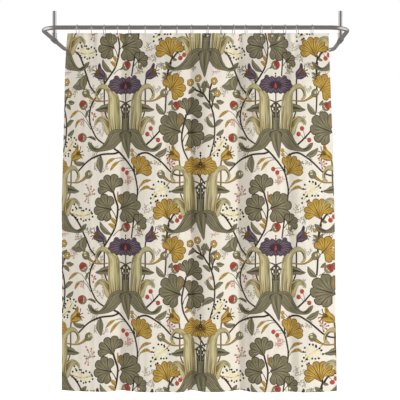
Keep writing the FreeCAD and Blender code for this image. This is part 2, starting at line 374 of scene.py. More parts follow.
    def rosebud(self, at, angle, radius=2.6, stalk=None):
        """A half-open bud, red petals over a striped cup."""
        if stalk is not None:
            self.stroke(list(stalk) + [at], [0.4, 0.35], "line", 3)
        self.edged(turned(disc((0, 0), radius, 14, 0.95), -angle, at), "olive_light", "line", 0.22)
        cup = [[-0.95, 0.0], [-0.55, 0.7], [0.1, 0.85], [-0.25, 0.3], [-0.35, -0.35],
               [0.1, -0.85], [-0.55, -0.72]]
        self.fill(turned(spline(cup, 2, True), -angle, at, radius * 0.62), "pale")
        for side in (-0.55, 0.0, 0.5):
            self.stroke(turned([[-0.85, side * 0.6], [-0.45, side], [-0.1, side * 1.5]],
                               -angle, at, radius), [0.3, 0.5, 0.2], "olive", 2)
        petals = [[0.0, 0.8], [0.55, 0.85], [1.05, 0.45], [1.12, -0.2], [0.75, -0.8],
                  [0.05, -0.75], [-0.2, -0.2], [-0.15, 0.35]]
        self.edged(turned(spline(petals, 3, True), -angle, at, radius * 0.94), "rust", "red_dark", 0.2)
        for side in (-0.5, -0.15, 0.25, 0.6):
            self.stroke(turned([[0.15, side * 0.8], [0.55, side], [0.95, side * 0.7]],
                               -angle, at, radius), [0.12, 0.32, 0.1], "red" if side > 0 else "red_dark", 2)
        self.stroke(turned([[0.1, 0.75], [0.35, 0.15], [0.1, -0.7]], -angle, at, radius),
                    [0.15, 0.3, 0.15], "red_dark", 3)
        self.stroke(turned([[-0.75, 0.35], [-0.45, 0.0], [-0.7, -0.4]], -angle, at, radius),
                    [0.15, 0.3, 0.15], "olive_dark", 3)

    def bell(self, base, look, hand=1):
        """A bell flower leaning outwards: a long upper petal, a full lip and brown stamens."""
        def put(points):
            return np.asarray(points, float) * [hand, -1] + base
        body = put(spline([(0.0, -0.3), (-0.25, 1.6), (-0.05, 3.4), (1.0, 4.7), (2.3, 5.8), (3.2, 7.2),
                           (3.7, 8.5), (4.3, 9.4), (5.0, 8.6), (5.0, 7.4), (4.9, 6.2), (5.3, 5.0),
                           (6.3, 3.8), (7.0, 2.6), (6.6, 1.3), (5.5, 0.9), (4.6, 0.3), (3.0, -0.4),
                           (1.4, -0.2)], 2, True))
        self.edged(body, look, look + "_dark", 0.24)
        for line, wide in (([(0.5, 0.8), (2.4, 0.6), (4.6, 1.2), (6.2, 1.6)], 1.0),
                           ([(0.4, 2.2), (1.8, 3.6), (3.2, 5.4), (4.2, 7.6)], 0.8)):
            self.stroke(put(line), [0.2, wide, wide * 0.8, 0.2], look + "_light", 3)
        for line, wide in (([(0.3, 0.6), (1.6, 2.4), (3.2, 3.4)], 0.8),
                           ([(0.8, 0.2), (3.0, 0.3), (5.2, 1.2)], 0.5),
                           ([(3.4, 6.0), (4.2, 7.4), (4.5, 8.8)], 0.7)):
            self.stroke(put(line), [0.2, wide, 0.2], look + "_dark", 3)
        self.fill(put(spline([(3.2, 3.4), (4.6, 5.4), (6.2, 5.4), (6.4, 3.8), (4.8, 2.8)], 2, True)),
                  "gold_dark")
        self.fill(put(disc((5.3, 4.6), 0.7, 7)), "gold")
        for line in ([(4.2, 4.8), (5.9, 5.7), (6.5, 7.0), (6.6, 8.4)],
                     [(4.6, 4.4), (6.4, 4.7), (7.5, 5.1), (8.4, 5.5)],
                     [(4.6, 3.9), (6.7, 3.4), (8.0, 3.2), (9.0, 2.6)],
                     [(5.6, 3.4), (7.0, 2.3), (7.5, 1.6), (7.7, 0.8)]):
            self.stroke(put(line), [0.7, 0.5, 0.7], "gold_dark", 3)

    def sprig(self, at, angle=90.0, size=4.0, tint="faint", seed=0):
        """A faint, loosely branched sprig with small heads."""
        dice = np.random.default_rng(seed)
        at = np.array(at, float)
        for fork in (dice.uniform(-40, -15), dice.uniform(-5, 30)):
            reach = size * dice.uniform(0.65, 1.05)
            stem = turned([[0, 0], [0.5, 0.08], [1.0, 0.0]], -angle - fork, at, reach)
            self.stroke(stem, [0.34, 0.2], tint, 2)
            for share in (0.35, 0.6, 0.85, 1.0):
                knot = stem[0] + (stem[2] - stem[0]) * share
                for hand in (-1, 1):
                    tip = turned([[0, 0], [1, 0]], -angle - fork - hand * dice.uniform(30, 70), knot,
                                 size * dice.uniform(0.12, 0.26))
                    self.stroke(tip, [0.3, 0.2], tint, 2)
                    self.fill(disc(tip[-1], dice.uniform(0.28, 0.48), 5), tint)

    def streaks(self, track, room, brushes, seed, stop):
        """Short uneven brush marks that follow a strap."""
        dice = np.random.default_rng(seed)
        side = across(track)
        for tint, count, fine, bold in brushes:
            for _ in range(count):
                first = int(dice.uniform(0, stop - 5))
                last = min(first + int(dice.uniform(5, 13)), stop)
                shift = dice.uniform(-0.42, 0.42) + np.linspace(0, dice.uniform(-0.07, 0.07), last - first)
                part = track[first:last] + side[first:last] * (room[first:last] * shift)[:, None]
                wide = dice.uniform(fine, bold)
                self.fill(ribbon(part[::2], [0.08, wide, wide * 0.8, 0.06], 2), tint)

    def centrepiece(self, at, look, heart):
        """The large upright motif: a ruffled flower over curling straps and a calyx."""
        home = np.array(at, float)
        widen = np.array([1.15, 1.0])

        def both(points):
            points = np.asarray(points, float) * widen
            return points + home, mirrored(points) + home

        def pair(points, widths, tint):
            for path in both(points):
                self.stroke(path, widths, tint, 3)

        # bell flowers at each side, on upright stems
        stem_tint = "line" if look == "plum" else "gold_dark"
        pair([(9.6, 23.4), (10.6, 21.2), (11.6, 18.0), (12.0, 13.0), (12.0, 4.0), (12.0, 1.0),
              (12.3, -2.0)], [0.8, 0.95, 0.95], stem_tint)
        self.bell(home + [14.2, -2.2], look)
        self.bell(home + [-14.2, -2.2], look, -1)
        # round buds on stalks that swell towards the bud
        for line in both([(8.6, 11.0), (12.4, 11.5), (16.4, 11.4), (19.4, 9.9), (21.6, 8.0)]):
            self.stroke(line, [0.6, 0.85, 1.2, 2.2], "gold_dark", 3)
            self.stroke(line, [0.2, 0.4, 0.6, 1.3], "gold", 3)
        self.bud(home + [26.4, 6.6], 48, 2.5)
        self.bud(home + [-26.4, 6.6], 132, 2.5)
        # side leaves
        for shape in both(spline([(8.6, 13.2), (11.4, 13.6), (13.7, 14.3), (15.2, 15.7), (17.3, 16.8),
                                  (15.6, 17.6), (13.7, 18.0), (11.4, 17.7), (8.6, 18.6)], 2, True)):
            self.edged(shape, "olive", "olive_dark", 0.2)
        pair([(9.0, 15.6), (12.4, 15.8), (16.6, 16.8)], [2.4, 1.2, 0.2], "olive_dark")
        pair([(10.6, 14.4), (13.2, 15.0), (15.0, 16.2)], [0.3, 0.6, 0.2], "olive_light")
        # lower pair of straps
        low = [(8.7, 32.4), (8.2, 28.7), (8.9, 25.7), (9.3, 23.4), (10.1, 22.4), (11.4, 21.4),
               (13.3, 20.9), (15.2, 21.4), (16.7, 22.8), (17.6, 24.4), (17.2, 26.2), (16.3, 24.9),
               (15.2, 24.0), (14.1, 24.0), (12.9, 25.0), (12.2, 26.8), (11.6, 29.1), (10.9, 31.6)]
        for shape in both(spline(low, 2, True)):
            self.edged(shape, "strap", "strap_dark", 0.2)
        for line, wide, tint in (
                ([(8.8, 31.4), (9.0, 28.4), (10.0, 25.2), (11.4, 22.8), (13.4, 21.7)], 1.7, "strap_dark"),
                ([(8.4, 31.0), (8.7, 28.4), (9.5, 25.0), (10.6, 22.8)], 1.2, "gold_dark"),
                ([(12.4, 22.0), (14.2, 21.6), (15.8, 22.6), (17.0, 24.8)], 0.9, "olive_light"),
                ([(14.4, 22.9), (15.8, 23.5), (16.9, 25.2)], 0.7, "strap_dark"),
                ([(10.2, 30.8), (11.2, 27.4), (12.4, 24.6), (13.6, 23.0)], 0.6, "strap_light"),
                ([(10.0, 27.4), (11.2, 25.0), (12.6, 23.2)], 0.4, "gold_dark")):
            pair(line, [0.3, wide, wide * 0.7, 0.1], tint)
        # stem under the flower and the small lantern
        self.stroke(home + [(0, 6.0), (0.1, 9.0), (0.1, 12.4)], 0.75, look + "_dark", 3)
        pair([(0.1, 12.3), (1.6, 11.5), (4.0, 10.6)], [0.9, 0.7], "olive_dark")
        pair([(0.1, 12.2), (1.8, 13.6), (3.5, 15.2)], [1.1, 0.8], "olive_dark")
        lantern = [(-0.9, 12.6), (-2.7, 14.8), (-2.9, 17.0), (-2.0, 20.0), (0, 22.4), (2.0, 20.0),
                   (2.9, 17.0), (2.7, 14.8), (0.9, 12.6)]
        self.fill(home + spline(lantern, 2, True) * widen, "olive_dark")
        column = [(-2.2, 30.4), (-2.5, 18.4), (2.5, 18.4), (2.2, 30.4)]
        self.fill(home + np.array(column) * widen, "olive_dark")
        self.fill(home + np.array([(-1.5, 30.4), (-1.7, 21.2), (0, 22.0), (1.7, 21.2), (1.5, 30.4)])
                  * widen, "olive")
        self.stroke(home + [(-0.9, 22.6), (-0.8, 26.0), (-0.9, 30.0)], [0.2, 0.5, 0.3], "olive_light", 2)
        self.stroke(home + [(1.2, 22.4), (1.3, 26.0), (1.2, 30.0)], [0.2, 0.5, 0.3], "olive_dark", 2)
        for spot, radius in (((-1.1, 14.2), 0.5), ((1.3, 14.2), 0.5), ((-2.1, 16.2), 0.55),
                             ((2.4, 16.2), 0.55), ((-1.2, 17.6), 0.3), ((1.2, 17.6), 0.3)):
            self.fill(disc(home + spot, radius, 7, 1.6), "cream")
        pair([(2.8, 17.0), (2.1, 19.0), (1.2, 20.6)], [0.3, 0.42, 0.3], "faint")
        self.stroke(home + [(0.1, 14.4), (0.1, 18.0), (0.1, 22.4)], [0.3, 0.5, 0.4], "faint", 2)
        # main straps, each curling outwards at its head
        main = [(3.0, 30.4), (3.1, 24.1), (3.5, 18.4), (3.7, 12.7), (3.9, 10.1), (4.5, 8.0),
                (5.5, 6.4), (7.2, 4.9), (8.7, 3.6), (9.9, 2.5), (11.4, 1.5), (13.3, 1.2), (15.0, 2.0),
                (16.4, 3.9), (17.3, 6.5), (17.3, 8.7), (16.3, 10.2), (14.6, 10.7), (15.8, 9.1),
                (16.1, 7.0), (15.3, 4.9), (14.1, 3.9), (12.2, 4.1), (10.7, 5.0), (10.0, 6.5),
                (9.6, 8.9), (9.6, 12.7), (9.8, 16.5), (9.7, 20.3), (9.4, 23.4), (9.0, 26.4), (8.5, 30.4)]
        spine = [(5.8, 30.2), (6.2, 24.0), (6.6, 18.0), (6.6, 13.0), (6.8, 9.2), (8.2, 6.2),
                 (10.0, 4.0), (12.4, 2.7), (14.6, 3.1), (16.2, 5.0), (16.8, 7.4), (16.4, 9.4)]
        rooms = [6.4, 6.9, 7.1, 6.7, 6.0, 5.0, 3.4, 2.7, 2.2, 1.7, 1.2, 0.7]
        for hand, (shape, line) in enumerate(zip(both(spline(main, 2, True)), both(spine))):
            self.edged(shape, "strap", "strap_dark", 0.26)
            track = spline(line, 5)
            room = np.interp(np.linspace(0, 1, len(track)), np.linspace(0, 1, len(rooms)), rooms)
            flip = 1 if hand else -1
            for shift, start, end, tint, wide in (
                    (0.40 * flip, 0, 34, "strap_dark", 0.9), (-0.43 * flip, 0, 50, "strap_dark", 0.5),
                    (0.30 * flip, 0, 26, "olive_light", 0.8), (-0.12 * flip, 0, 30, "strap_light", 1.6)):
                part = (track + across(track) * (room * shift)[:, None])[start:end]
                self.fill(ribbon(part[::4], [0.2, wide, wide * 0.8, 0.1], 2), tint)
            self.streaks(track, room, (("strap_light", 9, 0.35, 0.9), ("strap_dark", 7, 0.25, 0.5),
                                       ("strap_light", 6, 0.25, 0.5), ("olive_light", 4, 0.3, 0.6)),
                         11 + hand, 34)
            for n, shift in enumerate((-0.34, -0.16, 0.04, 0.2, 0.36)):
                part = (track + across(track) * (room * shift)[:, None])[:6 + 3 * (n % 3)]
                self.fill(ribbon(part[::2], [0.7, 0.4, 0.08], 2), "strap_dark" if n % 2 else "gold_dark")
            part = (track + across(track) * (room * -0.25 * flip)[:, None])[38:]
            self.fill(ribbon(part[::3], [0.2, 0.7, 0.4], 2), "olive_dark")
        # the calyx
        calyx = [(0.6, 29.4), (3.8, 28.4), (6.1, 28.7), (8.0, 30.0), (9.5, 32.0), (10.3, 34.0),
                 (11.4, 36.3), (12.7, 38.2), (14.1, 39.7), (15.6, 40.5), (17.1, 40.2), (18.2, 39.2),
                 (19.4, 37.8), (20.7, 37.1), (21.6, 37.0), (20.9, 39.5), (19.5, 41.2), (17.0, 42.1),
                 (13.7, 41.9), (10.6, 41.4), (8.0, 40.6), (6.1, 39.4), (4.6, 37.5), (3.0, 35.6),
                 (1.6, 34.4)]
        for shape in both(spline(calyx, 2, True)):
            self.edged(shape, "olive", "olive_dark", 0.26)
        for line, wide, tint in (
                ([(4.6, 30.0), (7.6, 32.6), (9.6, 36.4), (13.2, 40.0)], 1.5, "olive_light"),
                ([(2.6, 30.6), (5.2, 35.0), (9.0, 39.2)], 0.8, "olive_light"),
                ([(3.6, 29.2), (6.9, 31.4), (9.0, 35.2), (12.4, 39.4), (16.2, 41.2)], 0.5, "olive_dark"),
                ([(3.2, 32.0), (6.2, 36.6), (10.2, 40.2)], 0.36, "olive_dark"),
                ([(6.4, 29.8), (8.6, 32.4), (10.0, 36.0), (12.6, 39.4)], 0.36, "olive_dark"),
                ([(15.4, 41.2), (18.2, 40.4), (20.6, 38.2)], 1.3, "olive_dark"),
                ([(1.4, 29.8), (3.0, 30.6), (3.6, 32.4), (2.6, 33.4)], 0.9, "olive_dark")):
            pair(line, [0.25, wide, wide * 0.8, 0.2], tint)
        tongue = [(-2.6, 31.0), (0, 29.4), (2.6, 31.0), (3.0, 35.5), (2.7, 39.3), (2.4, 43.1),
                  (2.0, 46.3), (0.4, 42.8), (-1.1, 39.7), (-2.1, 36.7), (-2.6, 33.6)]
        self.edged(home + spline(tongue, 2, True) * widen, "olive", "olive_dark", 0.28)
        for line, wide, tint in (
                ([(0.2, 30.4), (0.4, 35.0), (1.2, 40.0), (2.0, 44.6)], 0.5, "olive_dark"),
                ([(-1.6, 31.4), (-1.3, 35.0), (0.2, 39.6)], 0.9, "olive_light"),
                ([(1.8, 31.0), (2.0, 35.0), (2.0, 40.0)], 0.7, "olive_light"),
                ([(-0.6, 31.0), (-0.3, 35.0), (0.8, 39.4)], 0.3, "olive_dark")):
            self.stroke(home + line, [0.3, wide, 0.2], tint, 3)
        self.flower(home, look, heart)

    def flower(self, home, look, heart):
        """The ruffled head: two lobes, with a notch at the top."""
        half = [(0.0, -2.4), (1.2, -3.2), (2.4, -3.6), (3.2, -2.9), (3.8, -3.0), (4.6, -4.0),
                (5.6, -4.3), (6.5, -3.6), (6.7, -2.3), (7.6, -1.6), (8.5, -1.2), (8.9, -0.2),
                (9.0, 0.8), (9.7, 1.9), (9.4, 3.0), (8.6, 3.6), (8.3, 4.5), (7.3, 5.2), (6.4, 5.2),
                (5.8, 6.2), (4.8, 6.5), (3.9, 6.1), (3.2, 6.7), (2.2, 6.6), (1.6, 5.9), (0.8, 6.4)]
        half = np.array(half) * [1.15, 1.0]
        rim = np.vstack([half, [[0.0, 6.3]], mirrored(half)[:0:-1]])
        self.edged(spline(rim, 2, True) + home, look, look + "_dark", 0.26)
        focus = np.array([0, 1.6])
        for n in range(2, len(rim) - 1):
            tip = rim[n]
            bend = np.array([tip[1], -tip[0]]) * 0.04 * (1 if tip[0] > 0 else -1)
            ray = [focus + (tip - focus) * 0.34, focus + (tip - focus) * 0.62 + bend,
                   focus + (tip - focus) * 0.9]
            light = n % 2 == 0
            self.stroke(ray + home, [0.16, 0.75 if light else 0.4, 0.2],
                        look + ("_light" if light else "_dark"), 2)
        for n in range(20):
            way = 2 * math.pi * n / 20
            tip = np.array([math.sin(way) * 5.6, -math.cos(way) * 3.2])
            ray = [focus + tip * 0.1, focus + tip * 0.6, focus + tip]
            bold = 0.8 if look == "plum" else 0.45
            self.stroke(ray + home, [bold, bold, 0.14], look + "_dark", 2)
        if heart == "red":
            self.stroke(home + [(0, -5.4), (0, -2.0), (0, 1.2)], [0.3, 0.36, 0.6], "red_dark", 2)
            self.fill(home + spline([(0, 0.3), (0.55, 1.6), (0.85, 2.8), (0, 3.6), (-0.85, 2.8),
                                     (-0.55, 1.6)], 3, True), "red")
            self.dots([home + (0, -5.4), home + (0, -3.7)], 0.6, "red_dark")
        else:
            self.stroke(home + [(0, -5.9), (0, -3.0), (0, 0.2)], [0.4, 0.5], "navy", 2)
            self.fill(disc(home, 1.25, 9), "navy")
            self.fill(disc(home, 0.5, 7), "plum_light")
            self.dots([home + (0, -6.5), home + (0, -4.9)], 0.75, "navy")


TILE = (101.7, 96.4)              # the pattern's repeat, across and down
SQUEEZE = 0.975                   # printed heights against drawn heights
FIRST_FLOWER = (43.5, 29.7)       # where a plum flower's middle lies on the flat cloth


def draw_tile():
    """One repeat of the pattern; its corner is the middle of the plum flower."""
    art = Drawing()
    # ghosted sprigs, under everything
    for at, angle, size in (
            ((6.5, 93.5), 40, 7.0), ((10.5, 90.5), 80, 5.0), ((4.0, 60.5), 150, 5.5),
            ((13.0, 79.5), 60, 6.5), ((24.0, 91.0), 120, 5.0), ((37.0, 92.0), 200, 5.5),
            ((48.5, 40.5), 75, 5.0), ((63.0, 92.5), 160, 5.0), ((70.5, 4.0), 210, 6.0),
            ((77.0, -6.0), 100, 5.5), ((81.0, 1.5), 250, 6.5), ((82.0, 13.0), 200, 5.0),
            ((74.0, 27.0), 130, 6.5), ((86.5, 33.0), 110, 8.0), ((76.5, 42.0), 60, 6.0),
            ((81.5, 48.5), 300, 5.5), ((33.0, 1.0), 100, 4.5), ((59.5, 18.5), 250, 3.5),
            ((18.5, 26.0), 120, 5.0), ((88.5, 96.0), 240, 6.0), ((3.5, 30.0), 90, 3.0),
            ((44.5, 92.0), 100, 4.0), ((20.0, 73.0), 10, 3.0), ((92.0, 20.0), 75, 4.5),
            ((46.5, 44.0), 110, 5.0), ((79.0, 45.5), 40, 6.0), ((85.0, 55.0), 60, 5.0),
            ((103.0, 62.5), 80, 5.5), ((20.0, 81.0), 250, 6.0), ((67.5, 96.0), 60, 5.5),
            ((24.5, -0.5), 60, 5.0), ((21.5, 6.5), 100, 4.5), ((85.5, 23.0), 80, 5.5),
            ((56.5, 20.0), 250, 4.0), ((14.5, 52.0), 60, 4.5), ((24.0, 50.5), 130, 5.0),
            ((86.0, 11.5), 120, 4.0), ((60.0, 52.5), 100, 3.5)):
        tint = ("faint", "moss", "faint", "rosy", "faint")[len(art.areas) % 5]
        art.sprig(at, angle, size, tint, len(art.areas))
    # dark vines
    for line in (
            [(29.7, -12.5), (28.5, -6.6), (27.7, -1.3), (27.7, 4.1), (27.5, 12.1), (27.0, 18.7)],
            [(41.2, 19.4), (38.9, 28.7), (38.3, 33.0), (38.6, 37.5), (39.8, 42.0), (42.6, 47.5)],
            [(14.5, 38.1), (18.6, 34.6), (23.6, 29.6)],
            [(9.0, 44.4), (11.4, 43.2), (15.0, 43.0), (19.0, 44.8), (24.7, 48.6), (31.0, 54.6),
             (35.6, 56.6), (41.0, 56.4)],
            [(9.6, 43.4), (7.6, 46.4), (5.9, 50.6), (6.6, 54.6)],
            [(-7.7, 40.2), (-4.4, 42.4), (0.4, 47.2), (4.4, 52.0), (6.4, 55.6), (7.8, 61.0),
             (8.5, 66.6), (7.4, 76.0), (5.6, 85.4), (4.2, 95.0)],
            [(-4.8, 42.4), (-8.0, 43.4), (-12.4, 43.6), (-17.0, 44.3), (-22.8, 46.6),
             (-27.0, 49.6), (-31.6, 54.0)],
            [(62.6, 79.0), (66.6, 81.2), (70.8, 86.4), (73.2, 91.0), (75.4, 95.2), (78.6, 101.8),
             (82.6, 106.2)],
            [(93.2, 65.2), (94.6, 70.2), (96.2, 75.4), (96.2, 79.4), (95.6, 84.2), (94.2, 89.6),
             (91.4, 94.6), (87.6, 100.2), (83.4, 106.4), (79.8, 111.4), (78.0, 116.6),
             (77.8, 121.2), (78.8, 125.6), (80.4, 129.0), (83.2, 133.4), (88.8, 137.0)],
            [(45.1, 2.2), (47.5, 4.3), (50.6, 5.8), (52.6, 6.8), (54.8, 9.9), (57.0, 12.8),
             (58.3, 15.8), (59.7, 20.1), (60.4, 25.4), (60.4, 31.0), (59.8, 36.6), (57.2, 45.0)],
            [(49.2, 0.4), (50.0, 3.0), (51.4, 5.6)],
            [(58.4, 0.6), (57.2, 4.4), (56.9, 8.0), (57.2, 12.4)],
            [(61.2, 7.6), (59.4, 10.8), (58.6, 15.4)],
            [(29.2, 80.6), (30.0, 83.8), (28.8, 88.0), (28.0, 94.0)],
            [(30.6, 84.2), (32.6, 80.9), (35.6, 79.0), (39.0, 78.2)],
            [(48.6, 55.4), (51.2, 58.4), (54.0, 62.0)]):
        art.vine(line)
    for line in ([(11.5, 61.6), (9.6, 64.2), (8.6, 67.6)], [(11.4, 65.4), (9.6, 66.8), (8.6, 68.6)],
                 [(69.8, 17.2), (72.6, 18.4), (75.4, 21.8), (78.0, 26.0)],
                 [(70.6, 22.8), (73.2, 22.6), (76.0, 24.8), (78.8, 28.8)],
                 [(0.4, 47.0), (-3.4, 45.8), (-6.8, 46.2)], [(0.6, 47.4), (-2.2, 47.2), (-4.6, 48.0)]):
        art.stroke(line, [0.3, 0.42], "line", 3)
    # leaves on the vines
    for base, tip, width, bow in (
            ((50.4, 4.6), (47.9, 0.2), 1.5, 0.1), ((51.3, 3.4), (53.4, -1.0), 2.6, 0.1),
            ((53.0, 6.8), (55.0, 1.6), 2.3, -0.1), ((57.2, 3.8), (54.7, -1.0), 2.0, -0.12),
            ((47.6, 3.4), (42.6, 6.6), 2.4, 0.1), ((52.8, 9.0), (48.2, 7.4), 2.1, 0.1),
            ((57.6, 5.6), (62.0, 3.2), 2.1, 0.12), ((58.6, 12.0), (57.2, 6.0), 2.3, 0.1),
            ((61.6, 11.2), (66.8, 11.9), 2.5, 0.1), ((59.4, 13.2), (63.4, 16.6), 2.3, -0.1),
            ((57.2, 16.4), (52.2, 12.6), 2.4, 0.1), ((60.0, 27.4), (55.4, 21.2), 2.6, -0.14),
            ((61.0, 27.0), (66.2, 23.0), 2.6, -0.12), ((61.4, 32.2), (66.4, 28.6), 2.4, 0.1),
            ((60.6, 33.2), (52.0, 37.0), 3.6, 0.12),
            ((74.6, -4.8), (65.2, 2.4), 6.6, -0.2), ((74.8, -4.6), (74.6, 4.6), 5.0, 0.16),
            ((20.4, 44.6), (28.0, 40.0), 3.4, 0.12), ((74.2, 49.0), (66.4, 48.0), 2.6, -0.12),
            ((-16.2, 44.6), (-16.0, 55.2), 4.4, 0.06), ((92.2, 92.6), (85.0, 84.8), 2.9, -0.12),
            ((27.0, 19.6), (21.4, 13.0), 3.2, -0.1), ((28.0, -3.4), (24.8, -5.8), 1.4, 0.1),
            ((28.0, -2.0), (24.8, -3.0), 1.3, 0.1), ((28.2, -4.2), (30.6, -6.8), 1.4, 0.1),
            ((-19.6, 35.4), (-24.8, 33.2), 1.3, 0.1), ((29.2, 13.8), (32.0, 10.8), 1.7, 0.1),
            ((88.8, 98.2), (86.8, 92.6), 1.2, 0.1), ((75.4, 21.4), (77.6, 16.6), 1.2, -0.1),
            ((30.4, 84.0), (33.2, 85.2), 1.5, 0.1), ((97.6, 90.6), (99.8, 87.6), 0.9, 0.1)):
        art.leaf(base, tip, width, bow)
    for base, tip in (((40.2, 38.6), (44.6, 34.8)), ((40.2, 41.2), (45.0, 37.6)),
                      ((94.9, 86.6), (91.6, 82.4)), ((94.6, 89.4), (90.6, 86.2))):
        art.leaf(base, tip, 1.9, 0.1, "gold")
    # fan leaves
    art.fan((37.4, 30.2), 160, 14.6, 180, 6, "olive", [(38.6, 32.0)], 0.46)
    art.fan((41.6, 19.6), 62, 11.6, 150, 6, "olive", None, 0.22)
    art.fan((42.0, 30.8), 6, 11.6, 200, 6, "olive", [(38.9, 36.4), (40.0, 33.2)], 0.38)
    art.fan((30.2, 4.8), 38, 10.4, 210, 7, "gold", [(27.8, 8.4), (28.6, 6.6)], 0.36)
    art.fan((7.6, 56.2), 54, 11.6, 116, 6, "gold", None, 0.16)
    art.fan((93.6, 67.2), 114, 12.0, 146, 5, "olive", None, 0.28)
    art.fan((98.3, 76.6), 8, 13.4, 206, 7, "olive", [(96.4, 78.6), (97.2, 77.6)], 0.5)
    art.fan((92.4, 77.4), 168, 12.2, 196, 6, "olive", [(95.4, 83.2), (94.2, 80.0)], 0.54)
    art.fan((8.0, 86.0), 22, 6.8, 196, 5, "olive", [(5.6, 88.6), (6.8, 87.2)], 0.3)
    art.fan((29.1, 83.0), 104, 12.8, 156, 7, "gold", None, 0.34)
    # heads of fine dots
    art.stroke([(58.0, 44.6), (62.6, 40.4), (66.0, 35.4)], 0.5, "mustard", 3)
    art.umbel((63.0, 39.6), ((56.3, 38.9), (62.4, 34.4), (64.3, 33.4), (66.9, 33.7), (68.3, 34.9),
                             (67.8, 37.3), (66.6, 39.0), (61.0, 36.4), (60.6, 38.8), (63.7, 41.3),
                             (62.4, 43.4), (60.1, 44.6), (58.6, 41.6)))
    art.stroke([(61.6, 79.2), (66.6, 80.2), (72.6, 81.4), (78.6, 80.0)], 0.62, "mustard", 3)
    art.umbel((72.4, 80.8), ((67.2, 74.4), (68.8, 77.0), (71.9, 76.5), (73.7, 78.1), (75.5, 77.1),
                             (77.9, 77.8), (79.6, 79.9), (80.0, 81.8), (77.8, 83.5), (75.3, 83.9),
                             (71.9, 83.3), (68.3, 82.4), (65.7, 80.9), (66.0, 77.8)))
    art.stroke([(31.6, 59.0), (27.6, 63.4), (22.8, 66.6), (18.6, 71.4)], 0.5, "mustard", 3)
    art.umbel((25.6, 65.0), ((22.6, 60.4), (24.8, 60.6), (26.6, 61.9), (29.4, 64.2), (30.3, 66.5),
                             (28.0, 69.0), (24.4, 69.0), (19.4, 62.4), (18.4, 64.9), (21.0, 69.4),
                             (18.8, 68.4), (17.6, 70.6), (17.6, 73.4), (22.2, 71.8)))
    art.umbel((8.6, 91.6), ((7.0, 88.6), (9.4, 87.6), (11.6, 90.0), (12.8, 92.6), (10.4, 93.8)),
              "faint", "pale", 0.7)
    # sprays of red
    for root, heads in (
            ((30.0, 50.0), ((28.4, 46.4), (30.2, 47.0), (31.8, 48.2), (33.4, 49.4), (32.4, 51.4),
                            (30.8, 52.6), (29.0, 49.0))),
            ((80.6, 21.0), ((79.6, 18.6), (81.4, 19.2), (82.0, 20.8), (80.4, 22.8))),
            ((77.8, 68.6), ((76.7, 64.3), (79.0, 63.4), (80.9, 65.4), (81.2, 67.9), (74.3, 67.9),
                            (75.6, 69.4), (74.9, 72.3), (76.9, 73.2), (75.5, 62.3)))):
        art.umbel(root, heads, "faint", "red", 0.62)
    # catkins
    art.catkin([(37.9, 19.8), (37.7, 23.0), (37.4, 26.2)], 0.8)
    art.catkin([(36.6, 21.4), (36.7, 24.0), (36.8, 26.8)], 0.5)
    art.catkin([(96.3, 66.4), (96.4, 69.6), (96.8, 73.0)], 0.6)
    art.catkin([(98.4, 67.8), (98.2, 70.6), (97.4, 73.6)], 0.4)
    for line in ([(9.8, 63.8), (12.6, 60.8), (15.2, 59.9), (17.8, 59.6)],
                 [(10.3, 65.8), (13.2, 64.2), (15.6, 63.8), (17.8, 65.2)],
                 [(69.8, 17.0), (66.4, 18.8), (63.2, 21.6)],
                 [(70.8, 22.6), (69.0, 24.6), (67.6, 27.4)],
                 [(94.7, 46.2), (91.8, 47.6), (88.8, 50.6)], [(97.2, 47.9), (94.2, 50.2), (91.8, 53.8)]):
        art.catkin(line)
    # berries, buds and small flowers
    for at, stalk in (((17.5, 28.2), (19.4, 33.8)), ((15.2, 31.6), (18.6, 34.4)),
                      ((22.4, 35.2), (19.4, 34.2)), ((-1.7, 52.8), (4.2, 52.4)),
                      ((1.0, 54.9), (5.0, 53.6)), ((37.4, 81.9), (34.8, 79.6)),
                      ((35.2, 84.0), (33.4, 80.8))):
        art.berry(at, 1.3, stalk)
    for at, stalk in (((4.6, 41.4), (9.0, 45.4)), ((4.8, 43.9), (8.6, 46.4)), ((7.0, 47.2), None),
                      ((26.0, -8.7), (28.4, -7.2))):
        art.berry(at, 1.1, stalk, "gold")
    art.rosebud((34.0, 14.7), 38, 2.7, [(28.2, 18.6), (30.4, 17.6)])
    art.rosebud((0.2, 88.3), 30, 2.9, [(-8.2, 93.6), (-5.4, 90.8), (-2.6, 89.6)])
    art.rosebud((73.6, 13.8), 128, 2.8, [(78.4, 23.2), (76.4, 19.4)])
    art.rosebud((72.9, 33.6), 176, 2.8, [(82.0, 34.2), (78.6, 33.6)])
    for at in ((43.7, -0.4), (48.7, -2.6), (59.8, -0.6), (62.2, 6.8)):
        art.daisy(at)
    art.centrepiece((0.0, 0.0), "plum", "red")
    art.centrepiece((50.8, 49.5), "gold", "navy")
    return [(outline * [1.0, SQUEEZE], tint) for outline, tint in art.areas]


# ---------------------------------------------------------------- how the cloth hangs

# Across the hem: place from the rail's middle, and how far forward the fold stands (metres).
FOLDS = (
    (-0.798, -0.018), (-0.530, 0.026), (-0.452, -0.024), (-0.249, 0.040), (-0.166, 0.026),
    (-0.083, 0.040), (-0.023, -0.027), (0.100, 0.036), (0.266, -0.025), (0.390, 0.041),
    (0.572, 0.014), (0.640, 0.040), (0.847, 0.004),
)
# Where the side edges hang: depth below the top, and place across.
LEFT_EDGE = ((0.0, 0.11, 0.22, 0.5, 1.0, 2.2), (-0.760, -0.770, -0.777, -0.783, -0.797, -0.798))
RIGHT_EDGE = ((0.0, 0.2, 0.68, 1.16, 2.2), (0.797, 0.805, 0.823, 0.835, 0.848))
# Upright lines of the cloth: across the flat width, and where they hang.
COLUMNS = ((0.120, 0.435, 0.9435, 1.452, 1.700), (-0.692, -0.414, 0.035, 0.481, 0.700))

